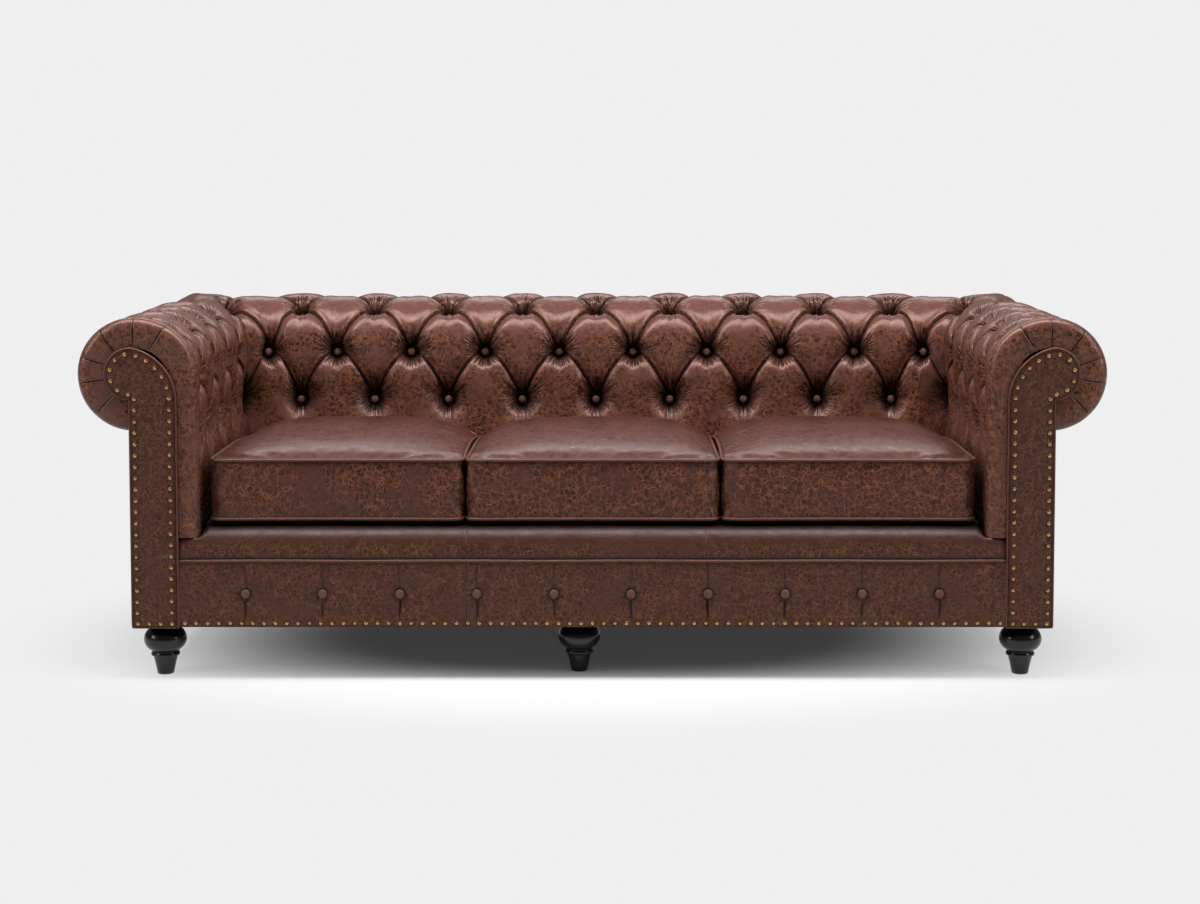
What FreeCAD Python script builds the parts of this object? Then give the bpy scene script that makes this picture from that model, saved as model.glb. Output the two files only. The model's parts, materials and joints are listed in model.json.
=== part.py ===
import FreeCAD, Part
import Sketcher
import math
import os
from FreeCAD import Rotation, Vector

# Three-seat rolled-arm sofa with deep-buttoned arms and back, in millimetres.
# X runs along the sofa, the front faces -Y, Z is up, and the origin is on the
# floor under the middle of the sofa's box. Left is the left of someone facing it.

SIZES = {
    # Overall
    "overall_width": 2200.0,
    "overall_depth": 930.0,
    "roll_axis_height": 656.0,
    "roll_radius": 122.0,
    "slab_offset": 134.0,
    # Seat frame
    "dust_cover_thickness": 2.0,
    "rail_height": 174.0,
    "rail_thickness": 32.0,
    "core_radius": 50.0,
    "core_flat_drop": 38.0,
    "panel_thickness": 6.0,
    "tacking_rail_lift": 10.0,
    "tacking_rail_height": 50.0,
    "cross_rail_spacing": 960.0,
    "cross_rail_height": 100.0,
    "middle_rail_shift": -30.0,
    "middle_rail_width": 44.0,
    "corner_block_leg": 110.0,
    "corner_block_height": 60.0,
    # Webbing and deck
    "web_width": 50.0,
    "web_thickness": 2.5,
    "long_web_pitch": 150.0,
    "cross_web_pitch": 150.0,
    "web_end_margin": 6.0,
    "deck_thickness": 41.0,
    # Padded front of the arms, facings and nails
    "nail_height": 3.0,
    "nail_radius": 5.5,
    "nail_pitch": 24.0,
    "nail_edge_distance": 9.0,
    "facing_thickness": 12.0,
    "facing_width": 92.0,
    "facing_overhang": 4.0,
    "facing_scroll_radius": 52.0,
    "facing_scroll_rise": 3.0,
    "facing_shoulder_drop": 56.0,
    "facing_welt_width": 5.0,
    "facing_welt_height": 9.0,
    "band_depth": 35.0,
    "band_inset": 3.0,
    "band_round": 22.0,
    # Lip and border under the cushions
    "border_height": 140.0,
    "border_setback": 6.0,
    "border_thickness": 10.0,
    "border_pleat_depth": 4.0,
    "border_pleat_width": 14.0,
    "border_button_pitch": 165.0,
    "border_button_height": 72.0,
    "lip_tongue_height": 46.0,
    "lip_wall": 10.0,
    "lip_depth": 54.0,
    "welt_size": 6.0,
    # Tufted pads
    "pad_clearance": 0.3,
    "pad_bottom_lift": 7.0,
    "corner_draw": 24.0,
    "tuft_depth": 44.0,
    "pleat_depth": 22.0,
    "tuft_row_low_height": 525.0,
    "tuft_row_high_height": 641.0,
    "button_radius": 9.0,
    "button_height": 7.0,
    # Seat cushions
    "cushion_gap": 2.0,
    "cushion_side_gap": 18.0,
    "cushion_back_gap": 10.0,
    "cushion_setback": 40.0,
    "cushion_seam_height": 132.0,
    "cushion_crown": 31.0,
    "cushion_corner_radius": 30.0,
    "cushion_drawn_in": 5.0,
    "cushion_piping": 8.0,
    "cover_wall": 12.0,
    "foam_clearance": 0.3,
    # Turned feet
    "foot_height": 114.0,
    "foot_tip_radius": 18.0,
    "foot_taper_radius": 26.0,
    "foot_taper_height": 38.0,
    "foot_ring_radius": 31.0,
    "foot_ring_height": 9.0,
    "foot_ball_radius": 46.0,
    "foot_ball_curve": 33.0,
    "foot_ball_height": 78.0,
    "foot_collar_radius": 30.0,
    "foot_collar_height": 7.0,
    "foot_inset": 19.0,
    "foot_side_inset": 11.0,
    "middle_foot_setback": 27.0,
    "bolt_radius": 4.0,
    "bolt_clearance": 0.3,
    "bolt_length": 70.0,
    "bolt_depth": 34.0,
}

# Angles in degrees from the rear of the roll, and shares chosen by eye.
ROLL_ROW_FRONT_ANGLE = 120.0
ROLL_ROW_TOP_ANGLE = 68.0
ROLL_END_ANGLE = -90.0
CORNER_GAP_SHARE = 0.69
BACK_PITCHES = 4
ARM_PITCHES = 4
STATION_SHARES = (0.1, 0.35, 0.65, 0.9)
PUFF_SHARE = 0.7
CELL_STEPS = 4
BUTTON_SHARES = ((0.0, 0.5), (0.6, 1.0), (1.0, 0.5))
UPRIGHT_PITCHES = 2.5
ROD_SIDES = 8
TURNED_SIDES = 16
SIDES = {"left": -1, "right": 1}

doc = FreeCAD.newDocument("TuftedSofa")
sheet = doc.addObject("Spreadsheet::Sheet", "Sizes")
for row, (alias, value) in enumerate(SIZES.items(), 1):
    sheet.set(f"A{row}", alias.replace("_", " "))
    sheet.set(f"B{row}", str(value))
    sheet.setAlias(f"B{row}", alias)
doc.recompute()


class Size:
    """A length that carries its number and the sheet expression it comes from."""

    def __init__(self, value, text):
        self.value = value
        self.text = text

    @staticmethod
    def of(other):
        return other if isinstance(other, Size) else Size(float(other), repr(float(other)))

    def __add__(self, other):
        other = Size.of(other)
        return Size(self.value + other.value, f"({self.text} + {other.text})")

    def __sub__(self, other):
        other = Size.of(other)
        return Size(self.value - other.value, f"({self.text} - {other.text})")

    def __mul__(self, factor):
        return Size(self.value * float(factor), f"({self.text} * {float(factor)!r})")

    def __truediv__(self, factor):
        return Size(self.value / float(factor), f"({self.text} / {float(factor)!r})")

    def __neg__(self):
        return Size(-self.value, f"(0 - {self.text})")

    def __float__(self):
        return self.value


def size(alias):
    """Read one driving size from the sheet."""
    return Size(float(sheet.get(alias)), f"Sizes.{alias}")


# Planes that several pieces share
zero = Size(0.0, "0")
axis_x = size("overall_width") / 2 - size("roll_radius")
axis_y = size("overall_depth") / 2 - size("roll_radius")
axis_z = size("roll_axis_height")
front_y = -(size("overall_depth") / 2)
face_y = front_y + size("nail_height")
band_y = face_y + size("facing_thickness")
pad_front_y = band_y + size("band_depth")
border_y = face_y + size("border_setback")
rail_y = border_y + size("border_thickness")
rail_back_y = rail_y + size("rail_thickness")
underside = size("foot_height")
frame_bottom = underside + size("dust_cover_thickness")
rail_top = frame_bottom + size("rail_height")
web_top = rail_top + size("web_thickness") * 2
deck_top = web_top + size("deck_thickness")
post_top = axis_z - size("core_flat_drop")
frame_x = axis_x - size("panel_thickness")
frame_y = axis_y - size("panel_thickness")
post_x = axis_x - size("core_radius")
post_y = axis_y - size("core_radius")
side_rail_x = frame_x - size("rail_thickness")
back_rail_y = frame_y - size("rail_thickness")
post_size = size("core_radius") - size("panel_thickness")
slab_x = axis_x - size("slab_offset")
slab_y = axis_y - size("slab_offset")
facing_out_x = axis_x + size("facing_overhang")
facing_in_x = facing_out_x - size("facing_width")
border_top = underside + size("border_height")
lip_bottom = border_top + size("welt_size")
lip_top = deck_top
tongue_top = lip_bottom + size("lip_tongue_height")
pad_bottom = rail_top + size("pad_bottom_lift")
foot_x = side_rail_x - size("foot_side_inset")
front_foot_y = rail_back_y + size("foot_inset")
rear_foot_y = back_rail_y - size("foot_inset")

subparts = []


def keep(obj, label):
    """Give a finished piece its name and put it among the sub-parts."""
    obj.Label = label
    subparts.append(obj)
    return obj


def place(obj, x, y, z):
    """Bind an object's position to the sheet."""
    for axis, value in (("x", x), ("y", y), ("z", z)):
        obj.setExpression(f"Placement.Base.{axis}", value.text)


def block(name, low, high):
    """A box between two corners."""
    obj = doc.addObject("Part::Box", name)
    for prop, a, b in zip(("Length", "Width", "Height"), low, high):
        obj.setExpression(prop, (b - a).text)
    place(obj, *low)
    return obj


def rod(name, radius, length, x, y, z):
    """An upright many-sided rod standing at a point."""
    obj = doc.addObject("Part::Prism", name)
    obj.Polygon = ROD_SIDES
    obj.setExpression("Circumradius", radius.text)
    obj.setExpression("Height", length.text)
    place(obj, x, y, z)
    return obj


def group(name, pieces):
    """Several like solids under one name."""
    obj = doc.addObject("Part::Compound", name)
    obj.Links = pieces
    return obj


def cut(name, base, tools):
    """A piece with others taken out of it."""
    obj = doc.addObject("Part::Cut", name)
    obj.Base = base
    obj.Tool = tools[0] if len(tools) == 1 else group(f"{name}_tools", tools)
    obj.Refine = False
    return obj


def shaped(name, shape):
    """A piece whose form is worked out by Part."""
    obj = doc.addObject("Part::Feature", name)
    obj.Shape = shape
    return obj


def mirrored(side, low, high):
    """The corners of a box on the right side, carried over to the given side."""
    if side > 0:
        return low, high
    return (-high[0], low[1], low[2]), (-low[0], high[1], high[2])


def origin_plane(body, role):
    """One of a body's own origin planes."""
    for feature in body.Origin.OriginFeatures:
        if feature.Role == role:
            return feature
    raise ValueError(f"{body.Name} has no {role}")


def sketch_on(body, role, name):
    """A sketch on one of the body's origin planes."""
    sketch = body.newObject("Sketcher::SketchObject", name)
    sketch.AttachmentSupport = (origin_plane(body, role), "")
    sketch.MapMode = "FlatFace"
    return sketch


def bind_point(sketch, edge, end, u, v):
    """Hold one end of an edge at a place given by two sizes."""
    for kind, value in (("DistanceX", u), ("DistanceY", v)):
        index = sketch.addConstraint(Sketcher.Constraint(kind, -1, 1, edge, end, float(value)))
        sketch.setExpression(f"Constraints[{index}]", value.text)


def polygon(sketch, points):
    """A closed outline of straight lines through bound points."""
    count = len(points)
    vectors = [Vector(float(u), float(v), 0) for u, v in points]
    for i in range(count):
        sketch.addGeometry(Part.LineSegment(vectors[i], vectors[(i + 1) % count]), False)
    for i in range(count):
        sketch.addConstraint(Sketcher.Constraint("Coincident", i, 2, (i + 1) % count, 1))
    for i, (u, v) in enumerate(points):
        bind_point(sketch, i, 1, u, v)


# Seat frame: front, back and side rails, joists, blocks, posts and uprights

front_rail = block("FrontRail", (-frame_x, rail_y, frame_bottom), (frame_x, rail_back_y, rail_top))
keep(front_rail, "front_rail")
back_rail = block("BackRail", (-frame_x, back_rail_y, frame_bottom), (frame_x, frame_y, rail_top))
keep(back_rail, "back_rail")

for word, side in SIDES.items():
    low, high = mirrored(side, (side_rail_x, rail_back_y, frame_bottom), (frame_x, back_rail_y, rail_top))
    keep(block(f"SideRail{word}", low, high), f"side_rail_{word}")
    inner_corner = (post_x, pad_front_y, rail_top)
    outer_corner = (frame_x, pad_front_y + post_size, post_top)
    low, high = mirrored(side, inner_corner, outer_corner)
    keep(block(f"ArmStump{word}", low, high), f"arm_stump_{word}")
    low, high = mirrored(side, (post_x, post_y, rail_top), (frame_x, frame_y, post_top))
    keep(block(f"CornerPost{word}", low, high), f"corner_post_{word}")
    tack_low = rail_top + size("tacking_rail_lift")
    tack_high = tack_low + size("tacking_rail_height")
    low, high = mirrored(side, (post_x, pad_front_y + post_size, tack_low), (frame_x, post_y, tack_high))
    keep(block(f"ArmTackingRail{word}", low, high), f"arm_tacking_rail_{word}")

uprights = []
tack_edges = [-post_x]
for word, side in SIDES.items():
    middle = size("long_web_pitch") * UPRIGHT_PITCHES * side
    low = (middle - post_size / 2, post_y, rail_top)
    high = (middle + post_size / 2, frame_y, post_top)
    uprights.append(block(f"BackUpright{word}", low, high))
    tack_edges += [low[0], high[0]]
tack_edges.append(post_x)
keep(group("BackUprights", uprights), "back_uprights")
tacks = []
for i in range(0, len(tack_edges), 2):
    low = (tack_edges[i], post_y, tack_low)
    high = (tack_edges[i + 1], frame_y, tack_high)
    tacks.append(block(f"BackTack{i}", low, high))
keep(group("BackTackingRails", tacks), "back_tacking_rails")

joists = []
for word, side in SIDES.items():
    middle = size("cross_rail_spacing") / 2 * side
    low = (middle - size("rail_thickness") / 2, rail_back_y, rail_top - size("cross_rail_height"))
    high = (middle + size("rail_thickness") / 2, back_rail_y, rail_top)
    joists.append(block(f"CrossRail{word}", low, high))
keep(group("CrossRails", joists), "cross_rails")

middle_x = size("middle_rail_shift")
middle_front_foot_y = front_foot_y + size("middle_foot_setback")
middle_rear_foot_y = rear_foot_y - size("middle_foot_setback")
hole_radius = size("bolt_radius") + size("bolt_clearance")
bolt_rise = size("bolt_length") - size("bolt_depth")

foot_places = {
    "front": [(-foot_x, front_foot_y), (middle_x, middle_front_foot_y), (foot_x, front_foot_y)],
    "rear": [(-foot_x, rear_foot_y), (middle_x, middle_rear_foot_y), (foot_x, rear_foot_y)],
}

half_middle = size("middle_rail_width") / 2
middle_bar = block(
    "MiddleRailBar",
    (middle_x - half_middle, rail_back_y, frame_bottom),
    (middle_x + half_middle, back_rail_y, rail_top),
)
middle_holes = []
for word, spots in foot_places.items():
    x, y = spots[1]
    middle_holes.append(rod(f"MiddleHole{word}", hole_radius, size("bolt_length"), x, y, frame_bottom))
keep(cut("MiddleRail", middle_bar, middle_holes), "middle_rail")


def corner_block(name, side, corner_y, inward, foot_y):
    """A glued triangular block in a corner of the seat frame, drilled for a foot bolt."""
    body = doc.addObject("PartDesign::Body", name)
    sketch = sketch_on(body, "XY_Plane", f"{name}Outline")
    corner_x = side_rail_x * side
    leg = size("corner_block_leg")
    polygon(sketch, [
        (corner_x, corner_y),
        (corner_x - leg * side, corner_y),
        (corner_x, corner_y + leg * inward),
    ])
    pad = body.newObject("PartDesign::Pad", f"{name}Pad")
    pad.Profile = sketch
    pad.setExpression("Length", size("corner_block_height").text)
    body.setExpression("Placement.Base.z", frame_bottom.text)
    hole = rod(f"{name}Hole", hole_radius, size("bolt_length"), foot_x * side, foot_y, frame_bottom)
    return cut(f"{name}Drilled", body, [hole])


blocks = []
for word, side in SIDES.items():
    blocks.append(corner_block(f"FrontBlock{word}", side, rail_back_y, 1, front_foot_y))
    blocks.append(corner_block(f"RearBlock{word}", side, back_rail_y, -1, rear_foot_y))
keep(group("CornerBlocks", blocks), "corner_blocks")


# Roll cores: round timber rails, flat underneath, mitred at the rear corners

def core_section(sketch):
    """A circle with a flat cut below, as a major arc and a chord."""
    radius = float(size("core_radius"))
    drop = float(size("core_flat_drop"))
    start = math.asin(-drop / radius)
    end = math.pi - start
    centre = Vector(0, float(axis_z), 0)
    sketch.addGeometry(Part.ArcOfCircle(Part.Circle(centre, Vector(0, 0, 1), radius), start, end), False)
    half = math.sqrt(radius ** 2 - drop ** 2)
    left = Vector(-half, float(axis_z) - drop, 0)
    right = Vector(half, float(axis_z) - drop, 0)
    sketch.addGeometry(Part.LineSegment(left, right), False)
    sketch.addConstraint(Sketcher.Constraint("Coincident", 0, 2, 1, 1))
    sketch.addConstraint(Sketcher.Constraint("Coincident", 1, 2, 0, 1))
    sketch.addConstraint(Sketcher.Constraint("Horizontal", 1))
    index = sketch.addConstraint(Sketcher.Constraint("Radius", 0, radius))
    sketch.setExpression(f"Constraints[{index}]", size("core_radius").text)
    bind_point(sketch, 0, 3, zero, axis_z)
    index = sketch.addConstraint(Sketcher.Constraint("DistanceY", 1, 1, 0, 3, drop))
    sketch.setExpression(f"Constraints[{index}]", size("core_flat_drop").text)


def mitre(body, name, points):
    """Cut a mitre through a core from above."""
    sketch = sketch_on(body, "XY_Plane", f"{name}Mitre")
    polygon(sketch, points)
    pocket = body.newObject("PartDesign::Pocket", f"{name}MitreCut")
    pocket.Profile = sketch
    pocket.Type = "ThroughAll"
    pocket.Reversed = True


core = size("core_radius")
for word, side in SIDES.items():
    body = doc.addObject("PartDesign::Body", f"ArmTopRail{word}")
    sketch = sketch_on(body, "XZ_Plane", f"ArmCore{word}")
    core_section(sketch)
    pad = body.newObject("PartDesign::Pad", f"ArmCorePad{word}")
    pad.Profile = sketch
    pad.Reversed = True
    pad.setExpression("Length", (axis_y + core - pad_front_y).text)
    body.setExpression("Placement.Base.x", (axis_x * side).text)
    body.setExpression("Placement.Base.y", pad_front_y.text)
    reach = axis_y + core - pad_front_y
    mitre(body, f"Arm{word}", [
        (-(core * side), reach - core * 2),
        (core * side, reach),
        (-(core * side), reach),
    ])
    keep(body, f"arm_top_rail_{word}")

body = doc.addObject("PartDesign::Body", "BackTopRail")
sketch = sketch_on(body, "YZ_Plane", "BackCore")
core_section(sketch)
pad = body.newObject("PartDesign::Pad", "BackCorePad")
pad.Profile = sketch
pad.setExpression("Length", ((axis_x + core) * 2).text)
pad.Midplane = True
body.setExpression("Placement.Base.y", axis_y.text)
for word, side in SIDES.items():
    mitre(body, f"Back{word}", [
        ((axis_x - core) * side, -core),
        ((axis_x + core) * side, -core),
        ((axis_x + core) * side, core),
    ])
keep(body, "back_top_rail")


# Webbing, deck and dust cover

long_webs = []
reach = int(float(side_rail_x - size("web_width")) // float(size("long_web_pitch")))
for i in range(-reach, reach + 1):
    middle = size("long_web_pitch") * i
    low = (middle - size("web_width") / 2, rail_y + size("web_end_margin"), rail_top)
    high = (middle + size("web_width") / 2, frame_y - size("web_end_margin"), rail_top + size("web_thickness"))
    long_webs.append(block(f"LongWeb{i + reach}", low, high))
keep(group("LongWebs", long_webs), "front_to_back_webbing")

cross_webs = []
first_web_y = pad_front_y + post_size + size("web_width") / 2
span = post_y - first_web_y - size("web_width")
count = int(float(span) // float(size("cross_web_pitch"))) + 1
for i in range(count):
    low_y = first_web_y + size("cross_web_pitch") * i
    low = (-(frame_x - size("web_end_margin")), low_y, rail_top + size("web_thickness"))
    high = (frame_x - size("web_end_margin"), low_y + size("web_width"), web_top)
    cross_webs.append(block(f"CrossWeb{i}", low, high))
keep(group("CrossWebs", cross_webs), "side_to_side_webbing")

lip_back_y = rail_y + size("lip_depth")
deck_x = slab_x - size("cushion_side_gap") / 2
keep(block("SeatDeck", (-deck_x, lip_back_y, web_top), (deck_x, slab_y, deck_top)), "seat_deck")

dust_sheet = block("DustSheet", (-frame_x, rail_y, underside), (frame_x, frame_y, frame_bottom))
dust_holes = []
for word, spots in foot_places.items():
    for i, (x, y) in enumerate(spots):
        dust_holes.append(rod(f"DustHole{word}{i}", hole_radius, size("bolt_length"), x, y, underside))
keep(cut("DustCover", dust_sheet, dust_holes), "dust_cover")


# Outside panels

for word, side in SIDES.items():
    low, high = mirrored(side, (frame_x, band_y, underside), (axis_x, axis_y, axis_z - core))
    keep(block(f"OutsideArm{word}", low, high), f"outside_arm_panel_{word}")
outside_back = block("OutsideBack", (-frame_x, frame_y, underside), (frame_x, axis_y, axis_z - core))
keep(outside_back, "outside_back_panel")


# Tufted pads of the arms and back

radius = float(size("roll_radius"))
slab = float(size("slab_offset"))
deep = float(size("tuft_depth"))
shallow = float(size("pleat_depth"))
row_low = float(size("tuft_row_low_height") - axis_z)
row_high = float(size("tuft_row_high_height") - axis_z)
row_front = radius * math.radians(180.0 - ROLL_ROW_FRONT_ANGLE)
row_top = radius * math.radians(180.0 - ROLL_ROW_TOP_ANGLE)
row_rear = radius * math.pi
row_end = radius * math.radians(180.0 - ROLL_END_ANGLE)
row_bottom = float(pad_bottom - axis_z)
seam = float(size("pad_clearance"))


def crest(along, offset):
    """A point of the arm or back outline, by distance along it and height above it.

    The distance is zero level with the roll's axis, negative down the inner face
    and positive round the roll. The result is measured from the roll's axis.
    """
    if along <= 0:
        return -(slab + offset), along
    angle = math.pi - along / radius
    reach = radius + (slab - radius) * max(0.0, -math.cos(angle)) ** 2 + offset
    return reach * math.cos(angle), reach * math.sin(angle)


def valley_height(share):
    """Height of a pleat at a share of the way from one button to the next."""
    return -(shallow + (deep - shallow) * (2 * share - 1) ** 2)


def crown_height(share, valley):
    """Height of a pillow where it is a share of its full width."""
    edge = STATION_SHARES[0]
    full = min(1.0, (share - edge) / (1 - 2 * edge))
    return max(-deep * (1 - full) ** 2, valley + shallow / CELL_STEPS ** 2)


def pillow(start, end, share, valley):
    """Points across a pillow between two pleats, without its first point."""
    crown = crown_height(share, valley)
    points = []
    for step in range(1, CELL_STEPS):
        part = step / CELL_STEPS
        height = valley + (crown - valley) * math.sin(math.pi * part) ** PUFF_SHARE
        points.append((start + (end - start) * part, height))
    points.append((end, valley))
    return points


def tufted_outline(share):
    """The upholstered outline at a share of the way from an even column to an odd one.

    Even columns have buttons in the low row and on the roll's front, and odd ones
    in the high row and on the roll's top. Pleats run diagonally between them, then
    straight down behind the cushions and straight back over the roll.
    """
    valley = valley_height(share)
    low_pleat = row_low + (row_high - row_low) * share
    front_pleat = row_front + (row_high - row_front) * share
    top_pleat = row_front + (row_top - row_front) * share
    quarter = math.pi / 2
    points = []
    crown = crown_height(share, valley)
    fall = (low_pleat - row_bottom) / 2
    points.append((row_bottom, crown))
    for step in range(CELL_STEPS + 1):
        part = step / CELL_STEPS
        height = valley + (crown - valley) * math.cos(quarter * part) ** PUFF_SHARE
        points.append((low_pleat - fall * (1 - part), height if step < CELL_STEPS else valley))
    points += pillow(low_pleat, front_pleat, 1 - share, valley)
    points += pillow(front_pleat, top_pleat, share, valley)
    crown = crown_height(1 - share, valley)
    for step in range(1, CELL_STEPS + 1):
        part = step / CELL_STEPS
        height = valley + (crown - valley) * math.sin(quarter * part) ** PUFF_SHARE
        points.append((top_pleat + radius * part, height))
    shoulder = top_pleat + radius
    for stop in ((shoulder + row_rear) / 2, row_rear):
        points.append((stop, crown))
    for step in range(1, CELL_STEPS):
        part = step / (CELL_STEPS - 1)
        points.append((row_rear + (row_end - row_rear) * part, crown))
    return [crest(along, height) for along, height in points]


HOLLOW_STEPS = 6
hollow_turn = math.radians(180.0 - ROLL_END_ANGLE) / HOLLOW_STEPS
hollow_reach = (float(core) + seam) / math.cos(hollow_turn / 2)


def pad_outline(share):
    """The closed section of a pad: its tufted outside and its hollow over the core."""
    ring = float(core) + seam
    drop = float(size("core_flat_drop"))
    points = tufted_outline(share)
    points.append((0.0, -ring))
    for step in range(HOLLOW_STEPS):
        angle = math.radians(ROLL_END_ANGLE) + hollow_turn * (step + 1 / 2)
        points.append((hollow_reach * math.cos(angle), hollow_reach * math.sin(angle)))
    points += [(-ring, 0.0), (-ring, -drop), (-float(core), -drop), (-float(core), row_bottom)]
    return points


def skinned(sections):
    """A closed solid of flat facets through sections that have the same count of points."""
    faces = []
    count = len(sections[0])

    def facet(*corners):
        faces.append(Part.Face(Part.makePolygon(list(corners) + [corners[0]])))

    for near, far in zip(sections, sections[1:]):
        for i in range(count):
            k = (i + 1) % count
            facet(near[i], near[k], far[k])
            facet(near[i], far[k], far[i])
    faces.append(Part.Face(Part.makePolygon(sections[0] + [sections[0][0]])))
    faces.append(Part.Face(Part.makePolygon(sections[-1] + [sections[-1][0]])))
    solid = Part.Solid(Part.Shell(faces))
    if solid.Volume < 0:
        solid.reverse()
    return solid


def stations(first, last):
    """Column counts and shares of the sections of a pad, from column to column."""
    for column in range(first, last):
        for share in STATION_SHARES:
            yield column + share, share if column % 2 == 0 else 1 - share


back_pitch = float(slab_x) / (BACK_PITCHES + CORNER_GAP_SHARE)
back_edge = back_pitch * BACK_PITCHES
arm_start = float(pad_front_y)
arm_half = float(slab_y - pad_front_y) / (2 * ARM_PITCHES)
arm_edge = arm_start + arm_half * 2 * (ARM_PITCHES - 1)


def cornered(w, part):
    """The reach of the roll's outside, drawn in towards the corner of the sofa."""
    beyond = max(0.0, (w - hollow_reach) / (radius - hollow_reach))
    return w - float(size("corner_draw")) * part ** 2 * beyond ** 2


def back_point(column, w, z):
    """A point of the back at a column, with the corner columns leaning into the mitre."""
    along = abs(column) / 2
    part = max(0.0, along - BACK_PITCHES)
    w = cornered(w, part)
    if part == 0.0:
        x = back_pitch * along
    else:
        x = back_edge + part * (float(axis_x) + w - back_edge)
    return Vector(math.copysign(x, column), float(axis_y) + w, float(axis_z) + z)


def arm_point(side, column, w, z):
    """A point of an arm at a column, with the corner columns leaning into the mitre."""
    part = max(0.0, column / 2 - ARM_PITCHES + 1)
    w = cornered(w, part)
    if part == 0.0:
        y = arm_start + arm_half * column
    else:
        y = arm_edge + part * (float(axis_y) + w - arm_edge)
    return Vector(side * (float(axis_x) + w), y, float(axis_z) + z)


last_back = 2 * (BACK_PITCHES + 1)
end_share = STATION_SHARES[0]
back_stations = [(-last_back, end_share)] + list(stations(-last_back, last_back)) + [(last_back, end_share)]
back_sections = []
for column, share in back_stations:
    back_sections.append([back_point(column, w, z) for w, z in pad_outline(share)])
keep(shaped("BackPad", skinned(back_sections)), "back_pad")

last_arm = 2 * ARM_PITCHES
for word, side in SIDES.items():
    arm_stations = [(0, end_share)] + list(stations(0, last_arm)) + [(last_arm, end_share)]
    sections = []
    for column, share in arm_stations:
        sections.append([arm_point(side, column, w, z) for w, z in pad_outline(share)])
    keep(shaped(f"ArmPad{word}", skinned(sections)), f"arm_pad_{word}")


# Covered buttons in the tufts and on the border

HEAD_SIDES = 6
BUTTON_SEAMS = 2
CORNER_BUTTON_SHARE = 0.75
CORNER_BUTTON_SEAMS = 7


def button(centre, outward, width_share=1.0):
    """A covered button with a domed front, at a place and facing outward."""
    width = float(size("button_radius")) * width_share
    height = float(size("button_height"))
    turn = Rotation(Vector(0, 0, 1), outward)
    rings = []
    for lift, reach in BUTTON_SHARES:
        ring = []
        for i in range(HEAD_SIDES):
            angle = 2 * math.pi * i / HEAD_SIDES
            across = Vector(math.cos(angle), math.sin(angle), 0) * (width * reach)
            local = across + Vector(0, 0, height * lift)
            ring.append(centre + turn.multVec(local))
        rings.append(ring)
    return skinned(rings)


def tuft_buttons(point_at, columns, corner_column):
    """Buttons of a pad at each even and odd column.

    The pad slants beside the sofa's corner, so the high row's button there stands higher.
    In the corner itself one button of the low row is pulled into the mitre.
    """
    solids = []
    pinched = valley_height(end_share)
    closed = crown_height(end_share, pinched)
    for column in columns:
        cornered_seams = CORNER_BUTTON_SEAMS if corner_column - abs(column) == 1 else BUTTON_SEAMS
        even = ((row_low, pinched), (row_front, closed))
        odd = ((row_high, closed), (row_top, pinched))
        for along, floor in even if column % 2 == 0 else odd:
            seams = cornered_seams if along == row_high else BUTTON_SEAMS
            near = crest(along, floor + seam * seams)
            far = crest(along, floor + radius)
            centre = point_at(column, *near)
            outward = point_at(column, *far) - centre
            outward.normalize()
            solids.append(button(centre, outward))
    return Part.makeCompound(solids)


solids = tuft_buttons(back_point, range(1 - last_back, last_back), last_back)
corner_radius = float(size("button_radius")) * CORNER_BUTTON_SHARE
corner_reach = corner_radius * BUTTON_SHARES[0][1] + seam * BUTTON_SEAMS * 2
ahead = Vector(0, -seam * BUTTON_SEAMS, 0)
for side in SIDES.values():
    outward = Vector(-side, -1, 0).normalize()
    deepest = back_point(side * last_back, *crest(row_low, valley_height(end_share)))
    centre = deepest + outward * corner_reach + ahead
    solids = solids.fuse(button(centre, outward, CORNER_BUTTON_SHARE))
keep(shaped("BackButtons", solids), "back_buttons")
for word, side in SIDES.items():
    solids = tuft_buttons(lambda column, w, z: arm_point(side, column, w, z), range(1, last_arm), last_arm)
    keep(shaped(f"ArmButtons{word}", solids), f"arm_buttons_{word}")


# Padded front of each arm, its nailed facing and the welt round it

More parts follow.
